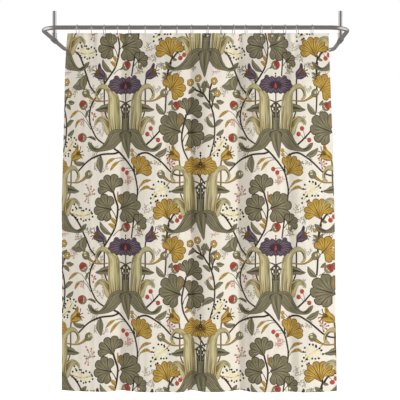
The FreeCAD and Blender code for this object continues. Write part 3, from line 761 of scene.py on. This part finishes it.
STEP = 0.001                      # spacing of the tables across the cloth (metres)
FOLDS_FULL = 0.30                 # depth below the top at which the folds stand in full
TOP_FADE = 0.13                   # depth over which the slack between rings dies away
HELD_FLAT = 0.012                 # half the width that an eyelet holds flat
TOP_BULGE = 0.36                  # how far that slack bulges, as a share of its longest reach
PULLED_FORWARD = 0.012            # a fold this far forward brings the slack above it forward


def eased(value):
    """A smooth step from 0 to 1."""
    value = np.clip(value, 0, 1)
    return value * value * (3 - 2 * value)


def softened(values, reach):
    """A run of values smoothed over a few samples."""
    window = np.exp(-0.5 * (np.arange(-3 * reach, 3 * reach + 1) / reach) ** 2)
    padded = np.pad(values, 3 * reach, mode="edge")
    return np.convolve(padded, window / window.sum(), mode="valid")


class Drape:
    """Where each point of the flat cloth hangs."""

    def __init__(self, sizes):
        self.width, self.height = sizes.flat_width, sizes.flat_height
        pitch = (self.width - sizes.left_margin - sizes.right_margin) / (RING_COUNT - 1)
        self.eyelets = sizes.left_margin + pitch * np.arange(RING_COUNT)
        marks = np.concatenate([[0.0], self.eyelets, [self.width]])
        self.u = np.arange(0.0, self.width + STEP / 2, STEP)
        self.v = np.concatenate([np.arange(0.0, 0.4, 0.008), np.arange(0.4, self.height + 0.02, 0.02)])
        fold_x = np.arange(FOLDS[0][0], FOLDS[-1][0] + STEP / 2, STEP)
        fold_y = softened(self.fold_line(fold_x), 7) * sizes.fold_depth
        rows_x, rows_y = [], []
        for down in self.v:
            left, right = np.interp(down, *LEFT_EDGE), np.interp(down, *RIGHT_EDGE)
            x = np.linspace(left, right, 1700)
            folds = eased(down / FOLDS_FULL)
            match = FOLDS[0][0] + (x - left) * (FOLDS[-1][0] - FOLDS[0][0]) / (right - left)
            forward = folds * np.interp(match, fold_x, fold_y)
            fade = math.exp(-(down / TOP_FADE) ** 1.5)
            forward = forward + fade * self.top_line(x, pitch, fold_x, fold_y)
            forward = forward + folds * self.ripple(x, down)
            run = np.concatenate([[0], np.cumsum(np.hypot(np.diff(x), np.diff(forward)))])
            free = np.interp(self.u, [0, *COLUMNS[0], self.width], [left, *COLUMNS[1], right])
            knots = np.interp(np.concatenate([[left], EYELET_X, [right]]), x, run)
            held = np.interp(np.interp(self.u, marks, knots), run, x)
            place = held + (free - held) * eased((down - 0.02) / 0.32)
            rows_x.append(place)
            rows_y.append(np.interp(place, x, forward))
        self.rows_x, self.rows_y = np.array(rows_x), np.array(rows_y)

    @staticmethod
    def fold_line(x):
        """The folds' outline at the hem: broad crests, tight valleys, steep on the right."""
        out = np.zeros_like(x)
        for (x0, y0), (x1, y1) in zip(FOLDS, FOLDS[1:]):
            part = (x >= x0) & (x <= x1)
            t = (x[part] - x0) / (x1 - x0)
            share = np.sin(t * math.pi / 2) if y1 > y0 else 1 - np.cos(t * math.pi / 2)
            out[part] = y0 + (y1 - y0) * share
        return out

    def top_line(self, x, pitch, fold_x, fold_y):
        """The slack between rings, forward or back with the fold below it."""
        out = np.zeros_like(x)
        for x0, x1 in zip(EYELET_X, EYELET_X[1:]):
            room = x1 - x0 - 2 * HELD_FLAT
            slack = max(pitch - (x1 - x0), 0.0005)
            rise = math.sqrt(slack * room) * TOP_BULGE
            way = 1 if np.interp((x0 + x1) / 2, fold_x, fold_y) > PULLED_FORWARD else -1
            part = (x > x0 + HELD_FLAT) & (x < x1 - HELD_FLAT)
            t = (x[part] - x0 - HELD_FLAT) / room
            out[part] = way * rise * np.sin(t * math.pi) ** 2
        corner = x < FIRST_X - HELD_FLAT
        turn = np.clip((FIRST_X - HELD_FLAT - x[corner]) / 0.05, 0, 1) * math.pi / 2
        out[corner] = -0.006 * np.sin(turn) ** 2
        return out

    @staticmethod
    def ripple(x, down):
        """Small upright creases that wander a little on their way down."""
        drift = 0.35 * math.sin(down * 2.1) + 0.2 * math.sin(down * 5.3 + 1.0)
        return (0.0011 * np.sin(x * 96 + drift * 3) * np.sin(x * 17 + 1.3 + down)
                + 0.0009 * np.sin(x * 151 + drift * 4 + 2.0) * np.sin(x * 11 + 0.4 - down * 0.7))

    def place(self, u, v):
        """Hung places of flat points, as rows of x, y, z."""
        u, v = np.asarray(u, float), np.asarray(v, float)
        column = np.clip(u / STEP, 0, len(self.u) - 1.001)
        i = column.astype(int)
        a = column - i
        row = np.clip(np.interp(v, self.v, np.arange(len(self.v))), 0, len(self.v) - 1.001)
        j = row.astype(int)
        b = row - j

        def blend(table):
            return ((table[j, i] * (1 - a) + table[j, i + 1] * a) * (1 - b)
                    + (table[j + 1, i] * (1 - a) + table[j + 1, i + 1] * a) * b)

        bay = np.interp(u, self.eyelets, np.arange(RING_COUNT))
        sag = 0.0015 * np.sin(math.pi * (bay % 1)) ** 2 * np.exp(-v / 0.12)
        return np.stack([blend(self.rows_x), RAIL_Y - blend(self.rows_y), CLOTH_TOP - v - sag], axis=1)

    def face(self, u, v):
        """Unit vectors square to the cloth, towards the front."""
        du, dv = 0.004, 0.012
        u, v = np.asarray(u, float), np.asarray(v, float)
        right = self.place(np.minimum(u + du, self.width), v) - self.place(np.maximum(u - du, 0), v)
        down = self.place(u, np.minimum(v + dv, self.height)) - self.place(u, np.maximum(v - dv, 0))
        out = np.cross(right, down)
        out /= np.linalg.norm(out, axis=1)[:, None]
        return out * np.sign(-out[:, 1:2] + 1e-12)


# ---------------------------------------------------------------- mesh helpers

def linear(screen):
    """A screen colour as the light it stands for."""
    screen = np.array(screen)
    return np.where(screen <= 0.04045, screen / 12.92, ((screen + 0.055) / 1.055) ** 2.4)


def winding(points, outline):
    """How often an outline goes round each point."""
    x0, y0 = outline[:, 0][:, None], outline[:, 1][:, None]
    x1, y1 = np.roll(outline[:, 0], -1)[:, None], np.roll(outline[:, 1], -1)[:, None]
    x, y = points[:, 0][None, :], points[:, 1][None, :]
    left = (x1 - x0) * (y - y0) - (x - x0) * (y1 - y0)
    up = (y0 <= y) & (y1 > y) & (left > 0)
    down = (y0 > y) & (y1 <= y) & (left < 0)
    return up.sum(axis=0) - down.sum(axis=0)


# Measures of the flat cutting, in centimetres.
SAME_POINT = 1e-4                 # points nearer than this are one
SLIVER = 1e-7                     # a triangle whose doubled area is less is left out
ON_RIM = 1e-6                     # a point nearer than this to the sheet's rim lies on it
NEARLY_STRAIGHT = 0.022           # a point nearer than this to a straight run is taken out
STRAIGHT_PASSES = 7


def cut_flat(corners, edges):
    """Triangles of a flat sheet cut along the edges, without slivers."""
    points, _, faces, _, _, _ = geometry.delaunay_2d_cdt(corners, edges, [], 0, SAME_POINT, False)
    points, faces = np.array([(p[0], p[1]) for p in points]), np.array(faces)
    a, b = points[faces[:, 1]] - points[faces[:, 0]], points[faces[:, 2]] - points[faces[:, 0]]
    return points, faces[np.abs(a[:, 0] * b[:, 1] - a[:, 1] * b[:, 0]) > SLIVER]


def top_tints(centre, areas, names):
    """The number of the tint that lies on top at each point; the first is bare cloth."""
    order = np.argsort(centre[:, 1])
    level = centre[order, 1]
    tints = np.zeros(len(centre), int)
    for outline, tint in areas:
        low, high = outline.min(axis=0), outline.max(axis=0)
        span = order[np.searchsorted(level, low[1]):np.searchsorted(level, high[1])]
        span = span[(centre[span, 0] > low[0]) & (centre[span, 0] < high[0])]
        if len(span):
            tints[span[winding(centre[span], outline) != 0]] = names.index(tint)
    return tints


def borders(faces, tints):
    """The edges that part two tints, and the open edges."""
    sides = np.sort(faces[:, [0, 1, 1, 2, 2, 0]].reshape(-1, 2), axis=1)
    owner = np.repeat(tints, 3)
    order = np.lexsort((sides[:, 1], sides[:, 0]))
    sides, owner = sides[order], owner[order]
    shared = np.append((sides[1:] == sides[:-1]).all(axis=1), False)
    differ = shared & (owner != np.roll(owner, -1))
    return sides[differ | ~(shared | np.roll(shared, 1))]


def straightened(points, edges):
    """Takes out the points that lie on a nearly straight run of edges."""
    for _ in range(STRAIGHT_PASSES):
        ends, other = edges.ravel(), edges[:, ::-1].ravel()
        order = np.argsort(ends, kind="stable")
        ends, other = ends[order], other[order]
        inner = np.flatnonzero(np.bincount(ends, minlength=len(points)) == 2)
        first = np.searchsorted(ends, inner)
        a, b = other[first], other[first + 1]
        run, off = points[b] - points[a], points[inner] - points[a]
        gap = np.abs(run[:, 0] * off[:, 1] - run[:, 1] * off[:, 0])
        free = np.zeros(len(points), bool)
        free[inner[gap < NEARLY_STRAIGHT * np.linalg.norm(run, axis=1)]] = True
        pick = free[inner] & ~(free[a] & (a < inner)) & ~(free[b] & (b < inner))
        gone = np.zeros(len(points), bool)
        gone[inner[pick]] = True
        edges = np.vstack([edges[~gone[edges].any(axis=1)], np.stack([a[pick], b[pick]], axis=1)])
    return edges


def printed_triangles(areas, names, width, height, spacing, holes, hole_radius):
    """Cuts a flat rectangle along its print; gives points, triangles and tint numbers."""
    corners, edges = [], []

    def add(outline):
        start = len(corners)
        corners.extend((float(x), float(y)) for x, y in outline)
        edges.extend((start + n, start + (n + 1) % len(outline)) for n in range(len(outline)))

    def side(a, b, count):
        share = np.linspace(0, 1, count, endpoint=False)[:, None]
        return np.array(a) + (np.array(b) - np.array(a)) * share

    columns, lines = int(round(width / spacing)), int(round(height / spacing))
    add(np.vstack([side((0, 0), (width, 0), columns), side((width, 0), (width, height), lines),
                   side((width, height), (0, height), columns), side((0, height), (0, 0), lines)]))
    for hole in holes:
        add(disc(hole, hole_radius, 24))
    for outline, _ in areas:
        add(outline)

    def sheet(corners, edges):
        """The triangles that lie on the sheet, outside its holes."""
        points, faces = cut_flat(corners, edges)
        centre = points[faces].mean(axis=1)
        keep = (centre > 0).all(axis=1) & (centre[:, 0] < width) & (centre[:, 1] < height)
        for hole in holes:
            keep &= np.hypot(*(centre - hole).T) > hole_radius * 0.98
        return points, faces[keep], top_tints(centre[keep], areas, names)

    points, faces, tints = sheet(corners, edges)
    edges = borders(faces, tints)
    far = np.array([width, height])
    at_rim = ((np.abs(points) < ON_RIM) | (np.abs(points - far) < ON_RIM)).any(axis=1)
    rim = at_rim[edges].any(axis=1)
    edges = np.vstack([edges[rim], straightened(points, edges[~rim])])
    used, edges = np.unique(edges, return_inverse=True)
    corners = [tuple(p) for p in points[used]]
    for row in range(1, lines):
        shift = 0.25 if row % 2 else -0.25
        for column in range(1, columns):
            corners.append(((column + shift) * width / columns, row * height / lines))
    points, faces, tints = sheet(corners, edges.reshape(-1, 2).tolist())
    used, faces = np.unique(faces, return_inverse=True)
    return points[used], faces.reshape(-1, 3), tints


def new_object(name, points, faces, material, uv=None):
    """A mesh object with its place in its mesh."""
    mesh = bpy.data.meshes.new(name)
    mesh.from_pydata([tuple(p) for p in points], [], [tuple(int(i) for i in f) for f in faces])
    mesh.materials.append(material)
    if uv is not None:
        layer = mesh.uv_layers.new(name="flat")
        index = np.zeros(len(mesh.loops), dtype=np.int32)
        mesh.loops.foreach_get("vertex_index", index)
        layer.data.foreach_set("uv", np.asarray(uv, float)[index].astype(np.float32).ravel())
    obj = bpy.data.objects.new(name, mesh)
    bpy.context.scene.collection.objects.link(obj)
    return obj


def hang(piece, node=None):
    """Cloth goes with the curtain's body; the CAD node it replaces is hidden."""
    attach(piece, "curtain")
    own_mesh(piece)
    if node:
        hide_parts(node)


# ---------------------------------------------------------------- materials

def new_material(name):
    """An empty node material with its surface shader."""
    material = bpy.data.materials.new(name)
    material.use_nodes = True
    tree = material.node_tree
    shader = tree.nodes["Principled BSDF"]
    return material, tree, shader


def add_node(tree, kind, **inputs):
    """A node, with its inputs set or linked by name."""
    node = tree.nodes.new(kind)
    for name, value in inputs.items():
        name = name.replace("_", " ")
        if isinstance(value, bpy.types.NodeSocket):
            tree.links.new(value, node.inputs[name])
        else:
            node.inputs[name].default_value = value
    return node


def ramp(tree, factor, low, high, start=0.0, end=1.0):
    """Spreads a factor between two values."""
    node = tree.nodes.new("ShaderNodeMapRange")
    tree.links.new(factor, node.inputs["Value"])
    node.inputs["From Min"].default_value = start
    node.inputs["From Max"].default_value = end
    node.inputs["To Min"].default_value = low
    node.inputs["To Max"].default_value = high
    return node.outputs["Result"]


def plain(screen, share=1.0):
    """A screen colour as plain numbers for a shader, dimmed to a share."""
    return tuple(float(c) * share for c in linear(screen))


def relief(tree, shader, height, strength, distance):
    """Gives a surface fine relief."""
    bump = add_node(tree, "ShaderNodeBump", Height=height, Strength=strength, Distance=distance)
    tree.links.new(bump.outputs[0], shader.inputs["Normal"])


def blended(tree, factor, first, second, mode="MIX"):
    """Mixes two colours."""
    node = tree.nodes.new("ShaderNodeMix")
    node.data_type, node.blend_type = "RGBA", mode
    for socket, value in ((node.inputs[0], factor), (node.inputs[6], first), (node.inputs[7], second)):
        if isinstance(value, bpy.types.NodeSocket):
            tree.links.new(value, socket)
        elif isinstance(value, (int, float)):
            socket.default_value = value
        else:
            socket.default_value = (*value, 1.0)
    return node.outputs[2]


def metal(name, screen, roughness, grain=(1.0, 1.0, 1.0), scratches=0.03, dull=0.10):
    """Plated or drawn metal: fine rubbing marks and faint water spots."""
    material, tree, shader = new_material(name)
    base = plain(screen)
    where = tree.nodes.new("ShaderNodeTexCoord").outputs["Object"]
    stretch = add_node(tree, "ShaderNodeMapping", Vector=where, Scale=grain).outputs["Vector"]
    rub = add_node(tree, "ShaderNodeTexNoise", Vector=stretch, Scale=260.0, Detail=3.0)
    spots = add_node(tree, "ShaderNodeTexNoise", Vector=where, Scale=38.0, Detail=4.0)
    spotted = ramp(tree, spots.outputs[0], 0.0, 1.0, 0.52, 0.72)
    tint = blended(tree, spotted, base, tuple(c * (1 - dull) for c in base))
    tree.links.new(tint, shader.inputs["Base Color"])
    shader.inputs["Metallic"].default_value = 1.0
    rough = tree.nodes.new("ShaderNodeMath")
    rough.operation = "ADD"
    tree.links.new(ramp(tree, rub.outputs[0], roughness * 0.7, roughness * 1.3), rough.inputs[0])
    tree.links.new(ramp(tree, spotted, 0.0, 0.08), rough.inputs[1])
    tree.links.new(rough.outputs[0], shader.inputs["Roughness"])
    relief(tree, shader, rub.outputs[0], scratches, 0.0004)
    return material


def enamel(name, screen):
    """Painted metal: slightly uneven gloss paint, thinner and darker at its rubbed spots."""
    material, tree, shader = new_material(name)
    base = plain(screen)
    where = tree.nodes.new("ShaderNodeTexCoord").outputs["Object"]
    wear = add_node(tree, "ShaderNodeTexNoise", Vector=where, Scale=420.0, Detail=4.0)
    worn = ramp(tree, wear.outputs[0], 0.0, 1.0, 0.60, 0.70)
    tint = blended(tree, worn, base, tuple(c * 0.72 for c in base))
    tree.links.new(tint, shader.inputs["Base Color"])
    tree.links.new(ramp(tree, worn, 0.32, 0.5), shader.inputs["Roughness"])
    relief(tree, shader, wear.outputs[0], 0.08, 0.0003)
    return material


def weave_bump(tree, shader, flat, threads=900.0, strength=0.25):
    """A plain weave from two sets of threads, a little uneven."""
    heights = []
    for axis in "XY":
        wave = add_node(tree, "ShaderNodeTexWave", Vector=flat, Scale=threads, Distortion=0.6,
                        Detail=1.0)
        wave.wave_type, wave.bands_direction = "BANDS", axis
        heights.append(wave.outputs["Fac"])
    both = tree.nodes.new("ShaderNodeMath")
    both.operation = "MAXIMUM"
    tree.links.new(heights[0], both.inputs[0])
    tree.links.new(heights[1], both.inputs[1])
    relief(tree, shader, both.outputs[0], strength, 0.0003)


def cloth_material(name, colours, printed):
    """Matt woven cloth; the face is printed, the back shows the print paler."""
    material, tree, shader = new_material(name)
    flat = tree.nodes.new("ShaderNodeUVMap")
    flat.uv_map = "flat"
    flat = flat.outputs["UV"]
    cream = plain(colours.cream)
    if printed:
        dye = tree.nodes.new("ShaderNodeVertexColor")
        dye.layer_name = "print"
        face = dye.outputs["Color"]
        back = blended(tree, 0.62, face, cream)
        side = tree.nodes.new("ShaderNodeNewGeometry").outputs["Backfacing"]
        face = blended(tree, side, face, back)
    else:
        face = cream
    mottle = add_node(tree, "ShaderNodeTexNoise", Vector=flat, Scale=9.0, Detail=5.0)
    face = blended(tree, ramp(tree, mottle.outputs[0], 0.0, 0.5, 0.35, 0.75), face,
                   (0.90, 0.885, 0.86), "MULTIPLY")
    slub = add_node(tree, "ShaderNodeMapping", Vector=flat, Scale=(1.0, 0.05, 1.0)).outputs[0]
    threads = add_node(tree, "ShaderNodeTexNoise", Vector=slub, Scale=700.0, Detail=3.0)
    face = blended(tree, ramp(tree, threads.outputs[0], 0.0, 0.35, 0.45, 0.75), face,
                   (0.80, 0.79, 0.77), "MULTIPLY")
    tree.links.new(face, shader.inputs["Base Color"])
    shader.inputs["Roughness"].default_value = 0.88
    shader.inputs["Specular IOR Level"].default_value = 0.18
    shader.inputs["Sheen Weight"].default_value = 0.12
    shader.inputs["Sheen Roughness"].default_value = 0.5
    weave_bump(tree, shader, flat)
    return material


def thread_material(name, colours):
    """Twisted sewing thread, with painted shade in the grooves of the twist."""
    material, tree, shader = new_material(name)
    base = plain(colours.cream, 0.92)
    where = tree.nodes.new("ShaderNodeTexCoord").outputs["Object"]
    twist = add_node(tree, "ShaderNodeTexWave", Vector=where, Scale=900.0, Distortion=1.5)
    twist.bands_direction = "DIAGONAL"
    # painted shade: the thread is darker along the grooves of its twist
    tint = blended(tree, ramp(tree, twist.outputs["Fac"], 0.0, 0.5), base, tuple(c * 0.7 for c in base))
    tree.links.new(tint, shader.inputs["Base Color"])
    shader.inputs["Roughness"].default_value = 0.75
    relief(tree, shader, twist.outputs["Fac"], 0.3, 0.0002)
    return material


def refinish(nodes, material):
    """Puts one material on CAD nodes."""
    for name in nodes:
        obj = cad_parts[name]
        obj.data.materials.clear()
        obj.data.materials.append(material)


# ---------------------------------------------------------------- operators

class CURTAIN_OT_rail(bpy.types.Operator):
    """Finish the rail, its cast tees, drop tubes, ceiling plugs and set screws"""
    bl_idname = "curtain.rail"
    bl_label = "Finish the rail"

    def execute(self, context):
        finish = context.scene.curtain_finish
        rough = finish.chrome_roughness
        refinish(["front_hoop_tube", "rear_hoop_tube"],
                 metal("chrome_hoop", finish.chrome, rough, (0.15, 1.0, 1.0)))
        refinish(["left_drop_tube", "right_drop_tube"],
                 metal("chrome_drop_tube", finish.chrome, rough, (1.0, 1.0, 0.12)))
        refinish(["left_tee", "right_tee"],
                 metal("chrome_casting", [c * 0.97 for c in finish.chrome], rough * 1.6,
                       (1.0, 1.0, 1.0), 0.10))
        refinish(["left_ceiling_plug", "right_ceiling_plug"],
                 metal("turned_plug", finish.chrome, rough * 1.3, (1.0, 1.0, 0.3), 0.06))
        refinish(["set_screws"], metal("screw_steel", finish.steel, 0.34, (1.0, 1.0, 1.0), 0.15))
        return {"FINISHED"}


class CURTAIN_OT_rings(bpy.types.Operator):
    """Finish the wire rings and the pressed eyelets"""
    bl_idname = "curtain.rings"
    bl_label = "Finish the rings and eyelets"

    def execute(self, context):
        finish = context.scene.curtain_finish
        refinish(RINGS, metal("bright_wire", finish.wire, 0.12, (1.0, 1.0, 0.4)))
        refinish(EYELETS, enamel("eyelet_enamel", finish.enamel))
        return {"FINISHED"}


class CURTAIN_OT_panel(bpy.types.Operator):
    """Make the printed panel: cut flat along its print, then hung in folds"""
    bl_idname = "curtain.panel"
    bl_label = "Make the printed panel"

    def execute(self, context):
        sizes, colours = context.scene.curtain_sizes, context.scene.curtain_print
        drape = Drape(sizes)
        width, height = sizes.flat_width / CM, sizes.flat_height / CM
        tile = draw_tile()
        areas = []
        shifts = [np.array(FIRST_FLOWER) + (across_by * TILE[0], down_by * TILE[1])
                  for across_by in range(-2, 3) for down_by in range(-1, 3)]
        for outline, tint in tile:
            for shift in shifts:
                low, high = outline.min(axis=0) + shift, outline.max(axis=0) + shift
                if high[0] > 0 and low[0] < width and high[1] > 0 and low[1] < height:
                    areas.append((outline + shift, tint))
        holes = [(u / CM, EYELET_DEPTH / CM) for u in drape.eyelets]
        names = list(PrintColours.__annotations__)
        points, faces, tints = printed_triangles(
            areas, names, width, height, sizes.grid / CM, holes, sizes.hole_radius / CM)
        u, v = points[:, 0] * CM, points[:, 1] * CM
        placed = drape.place(u, v)
        flipped = faces[:, ::-1]
        a, b, c = placed[flipped[:, 0]], placed[flipped[:, 1]], placed[flipped[:, 2]]
        if np.cross(b - a, c - a)[:, 1].sum() > 0:
            flipped = faces
        panel = new_object("printed_panel", placed, flipped,
                           cloth_material("printed_cloth_face", colours, True),
                           np.stack([u, v], axis=1))
        table = np.array([linear(getattr(colours, name)) for name in names])
        per_face = np.hstack([table[tints], np.ones((len(tints), 1))])
        layer = panel.data.color_attributes.new("print", "FLOAT_COLOR", "CORNER")
        layer.data.foreach_set("color", np.repeat(per_face, 3, axis=0).astype(np.float32).ravel())
        panel.data.normals_split_custom_set_from_vertices([tuple(n) for n in drape.face(u, v)])
        hang(panel, "curtain_panel")
        return {"FINISHED"}


def strip(name, drape, us, vs, offsets, material, node):
    """A turned layer of cloth behind the face."""
    u, v = [g.ravel() for g in np.meshgrid(us, vs)]
    behind = np.broadcast_to(offsets, (len(vs), len(us))).ravel()
    points = drape.place(u, v) - drape.face(u, v) * behind[:, None]
    count = len(us)
    faces = [(r * count + c, r * count + c + 1, (r + 1) * count + c + 1, (r + 1) * count + c)
             for r in range(len(vs) - 1) for c in range(count - 1)]
    piece = new_object(name, points, faces, material, np.stack([u, v], axis=1))
    for polygon in piece.data.polygons:
        polygon.use_smooth = True
    hang(piece, node)
    return piece


class CURTAIN_OT_hems(bpy.types.Operator):
    """Make the header band, the bottom hem and the two side hems behind the face"""
    bl_idname = "curtain.hems"
    bl_label = "Make the hems"

    def execute(self, context):
        sizes, colours = context.scene.curtain_sizes, context.scene.curtain_print
        drape = Drape(sizes)
        material = cloth_material("plain_hem_cloth", colours, False)
        width, height, gap = sizes.flat_width, sizes.flat_height, sizes.cloth_gap
        us = np.linspace(0.0, width, 460)
        strips = {
            "header_layer": (us, np.array([0.0, 0.002, 0.0074, 0.024, 0.036, sizes.header]),
                             np.array([0, gap, gap, gap, gap, gap])[:, None], "header_band"),
            "bottom_hem_layer": (us, height - np.array([sizes.bottom_hem, 0.02, 0.01, 0.002, 0.0]),
                                 np.array([gap, gap, gap, gap, 0])[:, None], "bottom_hem"),
        }
        tall = np.linspace(sizes.header, height - sizes.bottom_hem, 160)
        inner = np.array([0.0, 0.002, 0.009, sizes.side_hem])
        gaps = np.array([0, gap, gap, gap])
        strips["left_hem_layer"] = (inner, tall, gaps[None, :], "left_side_hem")
        strips["right_hem_layer"] = (width - inner[::-1], tall, gaps[::-1][None, :], "right_side_hem")
        pieces = [strip(name, drape, us, vs, behind, material, node)
                  for name, (us, vs, behind, node) in strips.items()]
        return {"FINISHED"}


class CURTAIN_OT_stitching(bpy.types.Operator):
    """Sew the header and the hems with rows of thread"""
    bl_idname = "curtain.stitching"
    bl_label = "Sew the hems"

    def execute(self, context):
        sizes, colours = context.scene.curtain_sizes, context.scene.curtain_print
        drape = Drape(sizes)
        material = thread_material("cream_thread", colours)
        width, height = sizes.flat_width, sizes.flat_height
        end, inset = 0.002, 0.003
        header, bottom = sizes.header - inset, height - sizes.bottom_hem + inset
        left, right = sizes.side_hem - inset, width - sizes.side_hem + inset
        rows = {
            "header_stitches": [((end, header), (width - end, header))],
            "bottom_stitches": [((end, bottom), (width - end, bottom))],
            "side_stitches": [((left, end), (left, height - end)), ((right, end), (right, height - end))],
        }
        for name, lines in rows.items():
            points, faces, uv = [], [], []
            for first, last in lines:
                self.sew(drape, first, last, sizes.cloth_gap, points, faces, uv)
            piece = new_object(name, points, faces, material, uv)
            hang(piece)
        return {"FINISHED"}

    @staticmethod
    def sew(drape, start, end, gap, points, faces, uv, pitch=0.005, stitch=0.0036, thread=0.0005):
        """One row of short raised stitches on the face and on the back."""
        start, end = np.array(start), np.array(end)
        run = np.linalg.norm(end - start)
        along = (end - start) / run
        side = np.array([-along[1], along[0]]) * thread
        count = int(run / pitch)
        heads = start + np.outer(np.arange(count) * pitch, along)
        for lift, sink in ((0.0004, -0.0001), (-gap - 0.0004, -gap + 0.0001)):
            profile = []
            for share, rise in ((0.0, sink), (0.2, lift), (0.8, lift), (1.0, sink)):
                middle_line = heads + along * stitch * share
                profile.extend((middle_line + side * hand * 0.5, rise) for hand in (-1, 1))
            placed = []
            for flat, rise in profile:
                u, v = flat[:, 0], flat[:, 1]
                placed.append(drape.place(u, v) + drape.face(u, v) * rise)
            first = len(points)
            block = np.stack(placed, axis=1)
            points.extend(map(tuple, block.reshape(-1, 3)))
            uv.extend(map(tuple, np.stack([f for f, _ in profile], axis=1).reshape(-1, 2)))
            for n in range(count):
                base = first + n * 8
                for k in (0, 2, 4):
                    faces.append((base + k, base + k + 1, base + k + 3, base + k + 2))


# Soft boxes aimed at the cloth's middle: name, place, size across and power in watts.
LIGHTS = (("key_light", (5.8, -5.2, -2.2), 2.0, 425.0),
          ("back_light", (-4.0, 6.0, -1.5), 2.5, 200.0))
CLOTH_MIDDLE = (0, RAIL_Y, -1.2)
SENSOR_WIDTH = 36.0               # millimetres
CAMERA_SHIFT = (-0.07, -0.0225)   # as shares of the picture's width
FLOOR_RADIUS = 30.0
WHITE = (1.0, 1.0, 1.0)
SOFT_FILL = (0.235, 0.235, 0.235)   # what reaches the cloth from all round
DIM_ROOM = (0.235, 0.225, 0.22)     # what the metal mirrors between the side walls


class CURTAIN_OT_stage(bpy.types.Operator):
    """Set the pale floor, the two soft boxes and the camera"""
    bl_idname = "curtain.stage"
    bl_label = "Set the stage"

    def execute(self, context):
        stage = context.scene.curtain_stage
        scene = context.scene
        level = PANEL_LOW[2] - stage.floor_gap
        bpy.ops.object.select_all(action="DESELECT")
        bpy.ops.mesh.primitive_circle_add(vertices=96, radius=FLOOR_RADIUS, fill_type="NGON",
                                          location=(0, 0, 0))
        floor = context.object
        floor.name = "studio_floor"
        for vertex in floor.data.vertices:
            vertex.co.z = level
        material, _, shader = new_material("pale_floor")
        shader.inputs["Base Color"].default_value = (0.92, 0.92, 0.92, 1)
        shader.inputs["Roughness"].default_value = 0.9
        shader.inputs["Specular IOR Level"].default_value = 0.0
        shader.inputs["Emission Color"].default_value = (1, 1, 1, 1)
        shader.inputs["Emission Strength"].default_value = 0.95
        floor.data.materials.append(material)
        floor.visible_glossy = False
        for settings in LIGHTS:
            self.light(*settings)
        self.world(scene)
        camera = bpy.data.objects.new("camera", bpy.data.cameras.new("camera"))
        scene.collection.objects.link(camera)
        camera.location = (stage.camera_side, -stage.camera_back, stage.camera_height)
        camera.rotation_euler = (math.pi / 2, 0, 0)
        camera.data.lens = stage.lens
        camera.data.sensor_width = SENSOR_WIDTH
        camera.data.shift_x, camera.data.shift_y = CAMERA_SHIFT
        camera.data.clip_end = 100.0
        scene.camera = camera
        scene.view_settings.view_transform = "Standard"
        return {"FINISHED"}

    @staticmethod
    def light(name, place, wide, power):
        """A square soft box aimed at the cloth's middle."""
        data = bpy.data.lights.new(name, "AREA")
        data.shape, data.size, data.size_y, data.energy = "RECTANGLE", wide, wide, power
        lamp = bpy.data.objects.new(name, data)
        lamp.location = place
        way = np.array(CLOTH_MIDDLE) - np.array(place)
        lamp.rotation_euler = (math.acos(-way[2] / np.linalg.norm(way)), 0,
                               math.atan2(way[1], way[0]) - math.pi / 2)
        lamp.visible_camera = False
        lamp.visible_glossy = False
        bpy.context.scene.collection.objects.link(lamp)

    @staticmethod
    def world(scene):
        """White surroundings; metal mirrors white walls at both sides and a dimmer room."""
        world = bpy.data.worlds.new("studio")
        scene.world = world
        world.use_nodes = True
        tree = world.node_tree
        tree.nodes.clear()
        way = tree.nodes.new("ShaderNodeTexCoord").outputs["Generated"]
        parts = add_node(tree, "ShaderNodeSeparateXYZ", Vector=way)
        size = tree.nodes.new("ShaderNodeMath")
        size.operation = "ABSOLUTE"
        tree.links.new(parts.outputs["X"], size.inputs[0])
        walls = ramp(tree, size.outputs[0], 0.0, 1.0, 0.66, 0.93)
        mirror = blended(tree, walls, DIM_ROOM, WHITE)
        path = tree.nodes.new("ShaderNodeLightPath")
        shown = blended(tree, path.outputs["Is Glossy Ray"], SOFT_FILL, mirror)
        shown = blended(tree, path.outputs["Is Camera Ray"], shown, WHITE)
        ground = tree.nodes.new("ShaderNodeBackground")
        tree.links.new(shown, ground.inputs["Color"])
        out = tree.nodes.new("ShaderNodeOutputWorld")
        tree.links.new(ground.outputs[0], out.inputs["Surface"])


class CURTAIN_PT_tools(bpy.types.Panel):
    """Everything that makes the curtain, in order"""
    bl_label = "Curtain"
    bl_space_type = "VIEW_3D"
    bl_region_type = "UI"
    bl_category = "Curtain"

    def draw(self, context):
        for group in GROUPS:
            box = self.layout.box()
            settings = getattr(context.scene, group)
            for name in type(settings).__annotations__:
                box.prop(settings, name)
        for step in STEPS:
            self.layout.operator(step.bl_idname)


GROUPS = {
    "curtain_sizes": ClothSizes,
    "curtain_print": PrintColours,
    "curtain_finish": FinishSettings,
    "curtain_stage": StageSettings,
}
STEPS = (CURTAIN_OT_rail, CURTAIN_OT_rings, CURTAIN_OT_panel, CURTAIN_OT_hems,
         CURTAIN_OT_stitching, CURTAIN_OT_stage)


def register():
    for group in GROUPS.values():
        bpy.utils.register_class(group)
    for step in STEPS:
        bpy.utils.register_class(step)
    bpy.utils.register_class(CURTAIN_PT_tools)
    for name, group in GROUPS.items():
        setattr(bpy.types.Scene, name, bpy.props.PointerProperty(type=group))


def unregister():
    for name in GROUPS:
        delattr(bpy.types.Scene, name)
    bpy.utils.unregister_class(CURTAIN_PT_tools)
    for step in reversed(STEPS):
        bpy.utils.unregister_class(step)
    for group in GROUPS.values():
        bpy.utils.unregister_class(group)


def main():
    register()
    for step in STEPS:
        area, name = step.bl_idname.split(".")
        getattr(getattr(bpy.ops, area), name)()
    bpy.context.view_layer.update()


if __name__ == "__main__":
    main()
